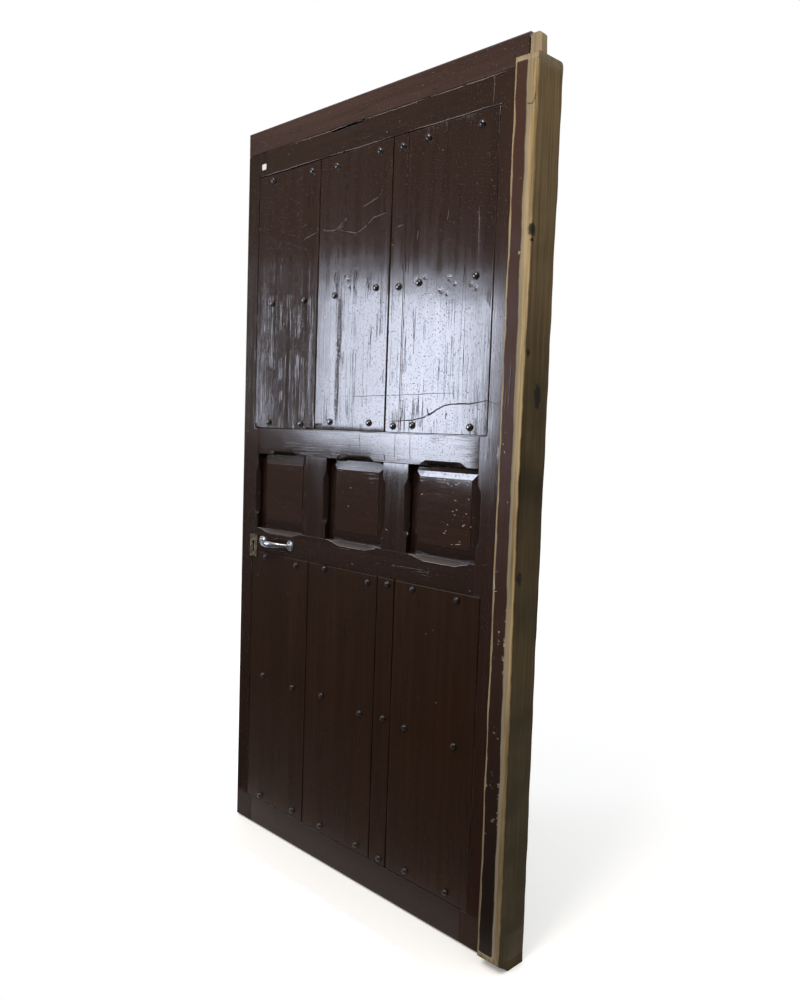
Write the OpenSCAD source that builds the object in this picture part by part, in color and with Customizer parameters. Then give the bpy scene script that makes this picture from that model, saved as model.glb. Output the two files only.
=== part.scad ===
// Studded plank-and-panel door leaf, hung on one rebated jamb post.
// Millimetres. The front faces -Y, +Z is up, and the origin is the middle of the whole object's base.

/* [Leaf frame] */
// Thickness of the leaf
leaf_t = 45; // [45:1:55]
// Width of the stile that carries the lock
lock_stile_w = 72; // [68:1:78]
// Width of the stile that carries the hinges
hanging_stile_w = 88; // [80:1:110]
// Face height of the bottom rail
bottom_rail_h = 78; // [60:1:140]
// Face height of the rail that carries the pull handle
lock_rail_h = 69; // [60:1:100]
// Face height of the rail above the panels
upper_rail_h = 72; // [55:1:100]
// Face height of the top rail
top_rail_h = 65; // [55:1:100]
// Length of the rail tenons in the stiles
rail_tenon_l = 40; // [25:1:45]
// Thickness of the tenons
tenon_t = 14; // [10:1:15]
// Clearance around tenons, tongues and let-in hardware
fit = 0.2; // [0.1:0.05:0.4]

/* [Fielded panels] */
// Width of each panel opening
panel_w = 216; // [180:1:260]
// Height of the panel openings
panel_h = 214; // [180:1:260]
// Width of the uprights between the panels
muntin_w = 86; // [70:1:110]
// Depth of the raised field behind the frame's face
panel_recess = 13; // [9:1:14]
// Width of the bevel around the field
bevel_w = 27; // [20:1:40]
// Drop of the bevel towards the frame
bevel_drop = 5; // [4:0.5:9]
// Small step between the field and its bevel
field_step = 1.5; // [0.5:0.5:2]
// Thickness of the panel's tongue
tongue_t = 8; // [6:1:10]
// Depth of the grooves that hold the panels
groove_depth = 10; // [8:1:14]

/* [Stopped chamfers] */
// Width of the chamfers above and beside each opening
chamfer_w = 11; // [6:1:14]
// Distance from an opening's corner to the chamfer's end
chamfer_margin = 34; // [24:1:45]
// Length of the sloping stop at each end
chamfer_stop = 20; // [10:1:25]
// Width of the worn chamfer along the foot of each opening
sill_chamfer_w = 11; // [8:1:16]
// Distance from an opening's corner to the foot chamfer's end
sill_margin = 16; // [10:1:30]
// Length of the foot chamfer's sloping stop
sill_stop = 42; // [20:1:50]

/* [Boards] */
// Height of the lower board field
lower_board_h = 733; // [650:1:800]
// Height of the upper board field
upper_board_h = 704; // [620:1:800]
// Thickness of the boards
board_t = 20; // [18:1:22]
// How far the outer boards lap onto the stiles
side_lap = 21; // [18:1:24]
// How far the board ends lap onto the rails
end_lap = 36; // [30:1:45]
// Open joint along each board
board_gap = 3; // [1.5:0.5:4]
// Thickness of the tongue between two boards
board_tongue_t = 6; // [4:1:8]
// Depth of the groove between two boards
board_groove_d = 8; // [6:1:10]
// Width of the upper left board
upper_left_w = 269; // [240:1:290]
// Width of the upper middle board
upper_middle_w = 270; // [240:1:290]
// Width of the upper narrow board
upper_narrow_w = 50; // [40:1:70]
// Width of the lower left board
lower_left_w = 259; // [240:1:290]
// Width of the lower middle board
lower_middle_w = 271; // [240:1:290]
// Width of the lower narrow board
lower_narrow_w = 61; // [45:1:75]
// Height of the ledge behind each board field
ledge_h = 80; // [60:1:110]
// Length of the ledge tenons in the stiles
ledge_tenon_l = 25; // [15:1:35]

/* [Studs] */
// Diameter of a stud's domed head
stud_d = 18; // [14:1:24]
// Height of the dome
stud_h = 6.5; // [4:0.5:8]
// Diameter of the stud's shank
stud_shank_d = 5; // [4:0.5:6]
// Length of the shank in the wood
stud_l = 38; // [30:1:42]
// Distance of the stud columns from a board's edge
stud_edge_inset = 57; // [45:1:70]
// Distance of the outer stud rows from the board ends
stud_end_inset = 18; // [14:1:22]

/* [Top strip] */
// Height of the strip on top of the leaf
strip_h = 64; // [40:1:80]
// Open joint under the strip
strip_gap = 1; // [0.5:0.5:2]
// Radius of the strip's worn top edges
strip_round = 5; // [2:1:8]
// Diameter of the strip's nails
nail_d = 4; // [3:0.5:5]
// Length of the strip's nails
nail_l = 105; // [95:1:120]
// Distance of the outer nails from the stiles
nail_inset = 26; // [15:1:60]
// Start of the splintered hollow under the strip, from the lock edge
splinter_x = 353; // [250:1:450]
// Length of the splintered hollow
splinter_l = 140; // [60:1:160]
// Depth of the splintered hollow
splinter_d = 8; // [4:1:12]

/* [Jamb] */
// Width of the jamb post
jamb_w = 61; // [55:1:80]
// How far the jamb stands out behind the leaf
jamb_back = 7; // [0:1:10]
// Thickness of the lip in front of the leaf
lip_t = 31; // [18:1:36]
// How far the lip covers the leaf
lip_lap = 10; // [8:1:22]
// Gap between the lip and the leaf's face
lip_gap = 1; // [0.5:0.5:3]
// Gap between the leaf's edge and the jamb
hinge_gap = 3; // [2.5:0.5:5]
// Gap between the leaf and the floor
floor_gap = 5; // [3:1:15]
// Height of the jamb's shoulder above the leaf's top rail
jamb_rise = 3; // [0:1:10]
// Width of the tenon on the jamb's head
head_tenon_w = 29; // [20:1:34]
// Thickness of the tenon on the jamb's head
head_tenon_t = 19; // [14:1:30]
// Height of the tenon on the jamb's head
head_tenon_h = 54; // [30:1:58]
// Radius of the jamb's worn outer arris
jamb_round = 4; // [3:1:12]
// Radius of the lip's worn arris
lip_round = 3; // [1:1:6]
// Height of the oblique cut at the front of the jamb's foot
foot_cut_h = 24; // [8:1:30]
// Depth of the oblique cut at the front of the jamb's foot
foot_cut_d = 34; // [20:1:40]

/* [Hinges] */
// Height of a hinge
hinge_h = 100; // [90:1:120]
// Width of a hinge plate on the wood
hinge_plate_w = 32; // [28:1:36]
// Thickness of a hinge plate
hinge_plate_t = 2.5; // [2:0.25:3]
// Diameter of the hinge pin
hinge_pin_d = 8; // [6:0.5:9]
// Running clearance of the pin, all round
pin_clearance = 0.06; // [0.03:0.01:0.1]
// Distance of the outer hinges from the leaf's ends
hinge_inset = 175; // [140:1:240]
// Diameter of a hinge screw's head
hinge_screw_d = 8; // [6:0.5:9]
// Length of a hinge screw
hinge_screw_l = 30; // [20:1:35]

/* [Lock] */
// Distance of the keyhole from the leaf's edge
keyhole_x = 60; // [58:1:62]
// Width of the keyhole plate
plate_w = 33; // [28:1:36]
// Height of the keyhole plate
plate_h = 65; // [62:1:70]
// Thickness of the keyhole plate
plate_t = 2.5; // [1.5:0.5:4]
// Diameter of the keyhole's round end
keyhole_d = 10; // [8:0.5:11]
// Width of the keyhole's slot
keyhole_slot_w = 5.5; // [4.5:0.5:6]
// Height of the dead bolt
bolt_h = 20; // [16:1:20]
// Thickness of the dead bolt
bolt_t = 8; // [6:0.5:8]
// Travel of the dead bolt
bolt_throw = 14; // [10:1:16]

/* [Pull handle] */
// Distance of the handle's first foot from the lock edge
handle_x = 104; // [102:1:120]
// Distance between the handle's feet
handle_span = 126; // [110:1:140]
// Reach of the handle's bow from the leaf's face
handle_reach = 41; // [36:1:50]
// Height of the grip in the middle of the bow
grip_h = 18; // [14:1:22]
// Thickness of the grip in the middle of the bow
grip_t = 11; // [8:1:13]
// Diameter of a handle foot
handle_foot_d = 29; // [27:1:32]

/* [Hidden] */
$fn = 48;

// Colours
PAINT = "#32241f";
BARE_WOOD = "#a8946a";
STUD_IRON = "#2a1f1b";
CHROME = "#c9cbcd";
PLATE_METAL = "#a49a80";
STEEL = "#7d7a74";

// Levels of the leaf, from its lower edge
lock_rail_z = bottom_rail_h + lower_board_h;
panel_z0 = lock_rail_z + lock_rail_h;
panel_z1 = panel_z0 + panel_h;
upper_board_z = panel_z1 + upper_rail_h;
top_rail_z = upper_board_z + upper_board_h;
leaf_h = top_rail_z + top_rail_h;

// Places across the leaf, from its lock edge
rail_x0 = lock_stile_w;
rail_x1 = rail_x0 + 3 * panel_w + 2 * muntin_w;
leaf_w = rail_x1 + hanging_stile_w;
board_x0 = rail_x0 - side_lap;
board_x1 = rail_x1 + side_lap;
function panel_x(i) = rail_x0 + i * (panel_w + muntin_w);

// Faces of each rail: lower and upper edge
rail_faces = [
    [0, bottom_rail_h], [lock_rail_z, panel_z0], [panel_z1, upper_board_z], [top_rail_z, leaf_h]
];

// Tenons and panel tongues through the leaf's thickness
tenon_y = 8;
tenon_shoulder = 6;
muntin_stub_l = 18;
tongue_y = panel_recess + bevel_drop;
tongue_l = groove_depth - 2;

// Board joints, from the lock edge
upper_edges = [
    board_x0, board_x0 + upper_left_w, board_x0 + upper_left_w + upper_middle_w,
    board_x0 + upper_left_w + upper_middle_w + upper_narrow_w, board_x1
];
lower_edges = [
    board_x0, board_x0 + lower_left_w, board_x0 + lower_left_w + lower_middle_w,
    board_x0 + lower_left_w + lower_middle_w + lower_narrow_w, board_x1
];
upper_span = [upper_board_z, top_rail_z];
lower_span = [bottom_rail_h, lock_rail_z];
board_tongue_l = board_gap + board_groove_d - 1.5;

// Stud places: two columns on each wide board, one on the narrow board, in three rows
function stud_columns(edges) = [
    edges[0] + stud_edge_inset, edges[1] - stud_edge_inset,
    edges[1] + stud_edge_inset, edges[2] - stud_edge_inset,
    (edges[2] + edges[3]) / 2,
    edges[3] + stud_edge_inset, edges[4] - stud_edge_inset
];
function stud_rows(span) = [
    span[0] + stud_end_inset, (span[0] + span[1]) / 2, span[1] - stud_end_inset
];
function stud_points(edges, span, strays) = [
    for (row = [0 : 2], column = [0 : 6])
        [stud_columns(edges)[column], stud_rows(span)[row]] + strays[row][column]
];
function within(points, low, high) = [
    for (p = points)
        if (p[0] > low[0] && p[0] < high[0] && p[1] > low[1] && p[1] < high[1]) p
];
// How far each hand-driven stud strays from its place, across and up, row by row from the foot
upper_strays = [
    [[9, 0], [-2, -2], [7, 5], [0, 5], [4, -1], [-13, 2], [6, 1]],
    [[13, -3], [0, -5], [13, -4], [11, 2], [8, -3], [-7, 0], [6, -1]],
    [[8, -1], [24, -6], [10, -12], [12, -6], [8, -11], [8, -8], [8, -12]]
];
lower_strays = [
    [[7, -5], [13, 2], [21, 1], [9, 2], [8, -1], [13, 3], [-11, 4]],
    [[10, 8], [2, 4], [13, 12], [8, 3], [7, 13], [-4, 10], [-3, 10]],
    [[10, 6], [5, 0], [13, 8], [24, -3], [8, 3], [6, 3], [-11, 0]]
];
upper_points = stud_points(upper_edges, upper_span, upper_strays);
lower_points = stud_points(lower_edges, lower_span, lower_strays);
stud_tip = 6;

// Places of the strip's nails along the strip
nail_step = (rail_x1 - rail_x0 - 2 * nail_inset) / 3;
nail_places = [for (i = [0 : 3]) rail_x0 + nail_inset + i * nail_step];
strip_z = leaf_h + strip_gap;

// Jamb post, from the leaf's lock edge and face
jamb_x0 = leaf_w - lip_lap;
jamb_x1 = jamb_x0 + jamb_w;
rebate_x = leaf_w + hinge_gap;
lip_front = -lip_gap - lip_t;
jamb_shoulder = leaf_h + jamb_rise;

// Hinge axis and barrel
hinge_knuckles = 5;
knuckle_clearance = 0.3;
barrel_r = hinge_pin_d / 2 + hinge_plate_t;
hinge_x = leaf_w + hinge_gap / 2;
hinge_y = leaf_t + barrel_r + 0.6;
hinge_levels = [hinge_inset, (leaf_h - hinge_h) / 2, leaf_h - hinge_inset - hinge_h];
fixed_clearance = 0.02;
pin_head_r = barrel_r - 0.5;
pin_head_h = 3;

// Screws: head radius, shank radius, head height, length
hinge_screw = [hinge_screw_d / 2, hinge_screw_d / 4, hinge_plate_t, hinge_screw_l];
forend_screw = [3.6, 1.8, 2.2, 24];
handle_screw = [3.2, 1.6, 2, 20];
plate_pin = [2.4, 1.2, 1.2, 14];
screw_slot_w = 1;

// Lock case in the stile
forend_t = 3;
forend_w = 20;
forend_over = 15;
case_y = 26;
case_t = 12;
case_wall = 1.5;
case_x1 = keyhole_x + 23;
case_z0 = lock_rail_z - 13;
case_z1 = lock_rail_z + 56;
forend_y = case_y + case_t / 2 - forend_w / 2;
inner_y = case_y + case_wall;
cover_y = case_y + case_t - case_wall;
keyhole_z = lock_rail_z + 25;
keyhole_foot_z = lock_rail_z + 1;
plate_z = lock_rail_z - 17;
plate_corner_r = 2;
pin_inset = 5.5;

// Dead bolt and its tail inside the case
bolt_z = keyhole_z + keyhole_d / 2 + 2;
bolt_y = case_y + case_t / 2 - bolt_t / 2;
bolt_head_l = 30;
tail_l = 38;
tail_t = 4;
tail_y = case_y + case_t / 2 - tail_t / 2;
tail_z0 = bolt_z + 3;
tail_z1 = bolt_z + bolt_h - 3;
guide_r = 2.5;
guide_x = bolt_head_l + 14;
guide_z = (tail_z0 + tail_z1) / 2;
talon_w = 10;
talon_h = 2;
spring_t = 0.8;
spring_w = 3;

// Bow of the pull handle
handle_z = lock_rail_z + lock_rail_h / 2 - 1.5;
handle_foot_h = 5;
foot_screw_offset = 9;
bow_end_h = 8.5;
bow_end_t = 7;
bow_stations = 20;
bow_sides = 16;
bow_reach = handle_reach - grip_t / 2;
function bow_swell(t) = pow(cos(90 * t), 1.3);
function bow_line(t) = [handle_span / 2 * t, -handle_foot_h / 2 - (bow_reach - handle_foot_h / 2) * pow(cos(90 * t), 0.8)];
function bow_heading(t) = let (ahead = bow_line(min(t + 0.02, 1)) - bow_line(max(t - 0.02, -1))) ahead / norm(ahead);
function bow_ring(t) = let (
    middle = bow_line(t),
    heading = bow_heading(t),
    half_t = (bow_end_t + (grip_t - bow_end_t) * bow_swell(t)) / 2,
    half_h = (bow_end_h + (grip_h - bow_end_h) * bow_swell(t)) / 2
) [
    for (k = [0 : bow_sides - 1]) let (a = 360 * k / bow_sides)
        [middle[0] - heading[1] * half_t * cos(a), middle[1] + heading[0] * half_t * cos(a), half_h * sin(a)]
];

// Frame of the whole object: its box is centred over the origin
back_y = hinge_y + barrel_r;
shift = [-jamb_x1 / 2, (handle_reach - back_y) / 2, floor_gap];

// Moves a piece from the leaf's own corner to the object's frame
module in_frame() {
    translate(shift) children();
}

// Box between two corners
module box(low, high) {
    translate(low) cube(high - low);
}

// Slotted countersunk screw with its head's face at the origin, driven towards -Z
module screw(size) {
    difference() {
        rotate_extrude()
            polygon([
                [0, 0], [size[0], 0], [size[1], -size[2]], [size[1], -size[3] + 2 * size[1]], [0, -size[3]]
            ]);
        box([-size[0], -screw_slot_w / 2, -size[2] / 2.5], [size[0], screw_slot_w / 2, 1]);
    }
}

// Hole for such a screw, open above its head
module screw_hole(size) {
    gap = fit / 2;
    rotate_extrude()
        polygon([
            [0, 1], [size[0] + gap, 1], [size[0] + gap, 0], [size[1] + gap, -size[2]],
            [size[1] + gap, -size[3] - gap], [0, -size[3] - gap]
        ]);
}

// Turns a screw's driving direction
module drive_back() {
    rotate([90, 0, 0]) children();
}
module drive_right() {
    rotate([0, -90, 0]) children();
}
module drive_left() {
    rotate([0, 90, 0]) children();
}

// Cutter for a stopped chamfer along +X, on an edge with the wood at +Y and -Z
module stopped_chamfer(length, width, stop) {
    skin = 0.5;
    stations = [[0, 0], [stop, width], [length - stop, width], [length, 0]];
    points = [
        for (s = stations)
            each [[s[0], -skin, skin], [s[0], -skin, -s[1] - skin], [s[0], s[1] + skin, skin]]
    ];
    sides = [
        for (i = [0 : 2], j = [0 : 2])
            [3 * i + (j + 1) % 3, 3 * i + j, 3 * i + 3 + j, 3 * i + 3 + (j + 1) % 3]
    ];
    polyhedron(points, concat([[0, 1, 2]], sides, [[11, 10, 9]]));
}

// Cutters for the four chamfers around one panel opening
module opening_chamfers(i) {
    x0 = panel_x(i);
    side_l = panel_h - 2 * chamfer_margin;
    translate([x0 + sill_margin, 0, panel_z0])
        stopped_chamfer(panel_w - 2 * sill_margin, sill_chamfer_w, sill_stop);
    translate([x0 + chamfer_margin, 0, panel_z1])
        mirror([0, 0, 1])
            stopped_chamfer(panel_w - 2 * chamfer_margin, chamfer_w, chamfer_stop);
    translate([x0, 0, panel_z0 + chamfer_margin])
        mirror([1, 0, -1])
            stopped_chamfer(side_l, chamfer_w, chamfer_stop);
    translate([x0 + panel_w, 0, panel_z0 + chamfer_margin])
        rotate([0, -90, 0])
            stopped_chamfer(side_l, chamfer_w, chamfer_stop);
}

// Grooves for the tongue of one panel in all its neighbours
module panel_pocket(i) {
    x0 = panel_x(i);
    box([x0 - groove_depth, tongue_y - fit, panel_z0 - groove_depth],
        [x0 + panel_w + groove_depth, tongue_y + tongue_t + fit, panel_z1 + groove_depth]);
}

// Bar that forms both tenons of a rail, and its mortises when grown
module rail_bar(face, grow = 0) {
    box([rail_x0 - rail_tenon_l - grow, tenon_y - grow, face[0] + tenon_shoulder - grow],
        [rail_x1 + rail_tenon_l + grow, tenon_y + tenon_t + grow, face[1] - tenon_shoulder + grow]);
}

// Bar that forms both tenons of a ledge, and its mortises when grown
module ledge_bar(span, grow = 0) {
    middle = (span[0] + span[1]) / 2;
    half = ledge_h / 2 - tenon_shoulder;
    box([rail_x0 - ledge_tenon_l - grow, board_t + tenon_shoulder - grow, middle - half - grow],
        [rail_x1 + ledge_tenon_l + grow, leaf_t - tenon_shoulder + grow, middle + half + grow]);
}

// Bar that forms both stub tenons of a muntin, and its mortises when grown
module muntin_bar(i, grow = 0) {
    x0 = panel_x(i) + panel_w;
    box([x0 + tenon_shoulder - grow, tenon_y - grow, panel_z0 - muntin_stub_l - grow],
        [x0 + muntin_w - tenon_shoulder + grow, tenon_y + tenon_t + grow, panel_z1 + muntin_stub_l + grow]);
}

// Rebate that takes the ends and outer edges of one board field
module board_seat(span) {
    box([board_x0, -1, span[0]], [board_x1, board_t, span[1]]);
}

// Holes for stud shanks
module stud_holes(points) {
    for (p = points)
        translate([p[0], -1, p[1]])
            rotate([-90, 0, 0])
                cylinder(d = stud_shank_d + fit, h = stud_l + 1 + fit);
}

// Room for the lock case, its forend and the key
module lock_cavity() {
    box([-1, forend_y - fit, case_z0 - forend_over - fit],
        [forend_t, forend_y + forend_w + fit, case_z1 + forend_over + fit]);
    box([-1, case_y - fit, case_z0 - fit], [case_x1 + fit, case_y + case_t + fit, case_z1 + fit]);
    forend_screw_places() screw_hole(forend_screw);
    keyhole(case_y + 1);
}

// Keyhole from in front of the plate to a given depth
module keyhole(depth) {
    front = plate_t + 1;
    translate([keyhole_x, -front, keyhole_z])
        rotate([-90, 0, 0])
            cylinder(d = keyhole_d, h = depth + front);
    box([keyhole_x - keyhole_slot_w / 2, -front, keyhole_foot_z],
        [keyhole_x + keyhole_slot_w / 2, depth, keyhole_z]);
}

// Places of the forend's two screws
module forend_screw_places() {
    for (z = [case_z0 - forend_over / 2, case_z1 + forend_over / 2])
        translate([0, case_y + case_t / 2, z])
            drive_right()
                children();
}

// Places of the keyhole plate's two pins
module plate_pin_places() {
    for (z = [plate_z + pin_inset, plate_z + plate_h - pin_inset])
        translate([keyhole_x, -plate_t, z])
            drive_back()
                children();
}

// Places of the four screws in the handle's feet
module handle_screw_places() {
    for (x = [0, handle_span], z = [-foot_screw_offset, foot_screw_offset])
        translate([handle_x + x, -handle_foot_h, handle_z + z])
            drive_back()
                children();
}

// Places of the screws in one hinge plate, as steps back along the plate and up from its foot
function hinge_screw_steps() = [
    for (i = [0 : 3]) [hinge_plate_w * (i % 2 == 0 ? 0.33 : 0.67), hinge_h * (0.14 + 0.24 * i)]
];

// Places of the hinge screws on the leaf's edge
module leaf_hinge_screw_places(level) {
    for (s = hinge_screw_steps())
        translate([leaf_w, leaf_t - s[0], level + s[1]])
            drive_left()
                children();
}

// Places of the hinge screws on the jamb
module jamb_hinge_screw_places(level) {
    for (s = hinge_screw_steps())
        translate([rebate_x, leaf_t - s[0], level + s[1]])
            drive_right()
                children();
}

// Shallow recess for a hinge plate: side is -1 on the leaf and 1 on the jamb
module hinge_recess(level, side) {
    face_x = hinge_x + side * hinge_gap / 2;
    inner_x = face_x + side * hinge_plate_t;
    box([min(face_x - side, inner_x), leaf_t - hinge_plate_w - fit, level - fit],
        [max(face_x - side, inner_x), leaf_t + 1, level + hinge_h + fit]);
}

// Notch in the jamb's back for a hinge's barrel and the ends of its pin
module barrel_notch(level) {
    end_room = pin_head_h + 1;
    box([rebate_x - 1, leaf_t, level - end_room],
        [hinge_x + barrel_r + 1, leaf_t + jamb_back + 1, level + hinge_h + end_room]);
}

// Corner left when a round arris is worn onto the low X, high Y corner of a square post
module worn_corner(r) {
    difference() {
        translate([-r - 1, 0])
            square(r + 1);
        circle(r);
    }
}

// Jamb post with its rebate, head tenon, oblique foot and hinge recesses
module jamb_post() {
    color(BARE_WOOD) in_frame() difference() {
        union() {
            translate([0, 0, -floor_gap])
                linear_extrude(jamb_shoulder + floor_gap)
                    jamb_section();
            head_tenon();
        }
        foot_cut();
        for (level = hinge_levels) {
            hinge_recess(level, 1);
            barrel_notch(level);
            jamb_hinge_screw_places(level) screw_hole(hinge_screw);
        }
    }
}

// Section of the jamb, with its worn arrises
module jamb_section() {
    difference() {
        translate([jamb_x0, lip_front])
            square([jamb_w, leaf_t + jamb_back - lip_front]);
        translate([jamb_x0 - 1, -lip_gap])
            square([rebate_x - jamb_x0 + 1, leaf_t + jamb_back + lip_gap + 1]);
        translate([jamb_x1 - jamb_round, lip_front + jamb_round])
            rotate(180)
                worn_corner(jamb_round);
        translate([jamb_x0 + lip_round, lip_front + lip_round])
            mirror([0, 1])
                worn_corner(lip_round);
    }
}

// Tenon on the jamb's head, with its top corners worn off
module head_tenon() {
    translate([rebate_x, head_tenon_t, jamb_shoulder - 1])
        rotate([90, 0, 0])
            linear_extrude(head_tenon_t)
                polygon([
                    [0, 0], [head_tenon_w, 0], [head_tenon_w, head_tenon_h - 5],
                    [head_tenon_w - 7, head_tenon_h + 1], [4, head_tenon_h + 1], [0, head_tenon_h - 3]
                ]);
}

// Oblique cut at the front of the jamb's foot
module foot_cut() {
    translate([jamb_x0 - 1, 0, -floor_gap])
        rotate([90, 0, 90])
            linear_extrude(jamb_w + 2)
                polygon([
                    [lip_front - 1, -1], [lip_front + foot_cut_d, -1], [lip_front + foot_cut_d, 0],
                    [lip_front, foot_cut_h], [lip_front - 1, foot_cut_h]
                ]);
}

// Stile under the lock
module lock_stile() {
    color(PAINT) in_frame() difference() {
        box([0, 0, 0], [lock_stile_w, leaf_t, leaf_h]);
        board_seat(upper_span);
        board_seat(lower_span);
        for (face = rail_faces)
            rail_bar(face, fit);
        ledge_bar(upper_span, fit);
        ledge_bar(lower_span, fit);
        panel_pocket(0);
        opening_chamfers(0);
        lock_cavity();
        plate_pin_places() screw_hole(plate_pin);
    }
}

// Stile under the hinges
module hanging_stile() {
    color(PAINT) in_frame() difference() {
        box([rail_x1, 0, 0], [leaf_w, leaf_t, leaf_h]);
        board_seat(upper_span);
        board_seat(lower_span);
        for (face = rail_faces)
            rail_bar(face, fit);
        ledge_bar(upper_span, fit);
        ledge_bar(lower_span, fit);
        panel_pocket(2);
        opening_chamfers(2);
        for (level = hinge_levels) {
            hinge_recess(level, -1);
            leaf_hinge_screw_places(level) screw_hole(hinge_screw);
        }
    }
}

// Rail blank from z0 to z1, with the tenons of its face
module rail_blank(face, z0, z1) {
    box([rail_x0, 0, z0], [rail_x1, leaf_t, z1]);
    rail_bar(face);
}

// Bottom rail with the lip for the lower board ends
module bottom_rail() {
    lip_z = bottom_rail_h + end_lap;
    color(PAINT) in_frame() difference() {
        rail_blank(rail_faces[0], 0, lip_z);
        board_seat(lower_span);
        stud_holes(within(lower_points, [0, 0], [leaf_w, lip_z]));
    }
}

// Rail under the panels, with the pull handle
module lock_rail() {
    lip_z = lock_rail_z - end_lap;
    color(PAINT) in_frame() difference() {
        rail_blank(rail_faces[1], lip_z, panel_z0);
        board_seat(lower_span);
        stud_holes(within(lower_points, [0, lip_z], [leaf_w, lock_rail_z]));
        for (i = [0 : 2]) {
            panel_pocket(i);
            opening_chamfers(i);
        }
        for (i = [0, 1])
            muntin_bar(i, fit);
        lock_cavity();
        plate_pin_places() screw_hole(plate_pin);
        handle_screw_places() screw_hole(handle_screw);
    }
}

// Rail above the panels
module upper_rail() {
    lip_z = upper_board_z + end_lap;
    color(PAINT) in_frame() difference() {
        rail_blank(rail_faces[2], panel_z1, lip_z);
        board_seat(upper_span);
        stud_holes(within(upper_points, [0, upper_board_z], [leaf_w, lip_z]));
        for (i = [0 : 2]) {
            panel_pocket(i);
            opening_chamfers(i);
        }
        for (i = [0, 1])
            muntin_bar(i, fit);
    }
}

// Top rail, splintered along its upper edge
module top_rail() {
    lip_z = top_rail_z - end_lap;
    color(PAINT) in_frame() difference() {
        rail_blank(rail_faces[3], lip_z, leaf_h);
        board_seat(upper_span);
        stud_holes(within(upper_points, [0, lip_z], [leaf_w, top_rail_z]));
        splinter();
        strip_nail_holes();
    }
}

// Splintered hollow in the top rail's upper front edge
module splinter() {
    translate([splinter_x, splinter_d, leaf_h])
        rotate([90, 0, 0])
            linear_extrude(splinter_d + 1)
                polygon([
                    [0, 1], [0, -0.4 * splinter_d], [0.08 * splinter_l, -splinter_d],
                    [0.55 * splinter_l, -0.75 * splinter_d], [0.85 * splinter_l, -0.8 * splinter_d],
                    [splinter_l, 0], [splinter_l, 1]
                ]);
}

// Upright between two panels
module muntin(i) {
    x0 = panel_x(i) + panel_w;
    color(PAINT) in_frame() difference() {
        union() {
            box([x0, 0, panel_z0], [x0 + muntin_w, leaf_t, panel_z1]);
            muntin_bar(i);
        }
        for (k = [i, i + 1]) {
            panel_pocket(k);
            opening_chamfers(k);
        }
    }
}
module left_muntin() {
    muntin(0);
}
module right_muntin() {
    muntin(1);
}

// Raised and fielded panel: a tongue all round, a sloping bevel and a field one small step above it
module fielded_panel(i) {
    x0 = panel_x(i);
    x1 = x0 + panel_w;
    color(PAINT) in_frame() {
        box([x0 - tongue_l, tongue_y, panel_z0 - tongue_l],
            [x1 + tongue_l, tongue_y + tongue_t, panel_z1 + tongue_l]);
        hull() {
            box([x0, tongue_y, panel_z0], [x1, tongue_y + 1, panel_z1]);
            box([x0 + bevel_w, panel_recess + field_step, panel_z0 + bevel_w],
                [x1 - bevel_w, tongue_y, panel_z1 - bevel_w]);
        }
        box([x0 + bevel_w, panel_recess, panel_z0 + bevel_w],
            [x1 - bevel_w, tongue_y, panel_z1 - bevel_w]);
    }
}
module left_panel() {
    fielded_panel(0);
}
module middle_panel() {
    fielded_panel(1);
}
module right_panel() {
    fielded_panel(2);
}

// Board i of a field: grooved on its left edge and tongued on its right edge, apart from the outer ones
module board(edges, i, span, points) {
    x0 = edges[i] + board_gap / 2;
    x1 = edges[i + 1] - board_gap / 2;
    z0 = span[0] + board_gap / 2;
    z1 = span[1] - board_gap / 2;
    middle = board_t / 2;
    difference() {
        union() {
            box([x0, 0, z0], [x1, board_t, z1]);
            if (i < 3)
                box([x1 - 1, middle - board_tongue_t / 2, z0],
                    [x1 + board_tongue_l, middle + board_tongue_t / 2, z1]);
        }
        if (i > 0)
            box([x0 - 1, middle - board_tongue_t / 2 - fit, z0 - 1],
                [x0 + board_groove_d, middle + board_tongue_t / 2 + fit, z1 + 1]);
        stud_holes(within(points, [x0, z0], [x1, z1]));
    }
}
module upper_board(i) {
    color(PAINT) in_frame() board(upper_edges, i, upper_span, upper_points);
}
module upper_left_board() {
    upper_board(0);
}
module upper_middle_board() {
    upper_board(1);
}
module upper_narrow_board() {
    upper_board(2);
}
module upper_right_board() {
    upper_board(3);
}
module lower_board(i) {
    color(PAINT) in_frame() difference() {
        board(lower_edges, i, lower_span, lower_points);
        plate_pin_places() screw_hole(plate_pin);
    }
}
module lower_left_board() {
    lower_board(0);
}
module lower_middle_board() {
    lower_board(1);
}
module lower_narrow_board() {
    lower_board(2);
}
module lower_right_board() {
    lower_board(3);
}

// Ledge behind the middle of a board field
module ledge(span, points) {
    middle = (span[0] + span[1]) / 2;
    low = middle - ledge_h / 2;
    high = middle + ledge_h / 2;
    color(PAINT) in_frame() difference() {
        union() {
            box([rail_x0, board_t, low], [rail_x1, leaf_t, high]);
            ledge_bar(span);
        }
        stud_holes(within(points, [0, low], [leaf_w, high]));
    }
}
module upper_ledge() {
    ledge(upper_span, upper_points);
}
module lower_ledge() {
    ledge(lower_span, lower_points);
}

// Domed studs with pointed shanks
module studs(points) {
    head_r = stud_d / 2;
    dome_r = (head_r * head_r + stud_h * stud_h) / (2 * stud_h);
    color(STUD_IRON) in_frame() for (p = points)
        translate([p[0], 0, p[1]])
            drive_back()
                rotate_extrude() {
                    intersection() {
                        translate([0, stud_h - dome_r])
                            circle(dome_r);
                        square([head_r, stud_h]);
                    }
                    polygon([
                        [0, 0.5], [stud_shank_d / 2, 0.5], [stud_shank_d / 2, stud_tip - stud_l], [0, -stud_l]
                    ]);
                }
}
module upper_studs() {
    studs(upper_points);
}
module lower_studs() {
    studs(lower_points);
}

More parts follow.
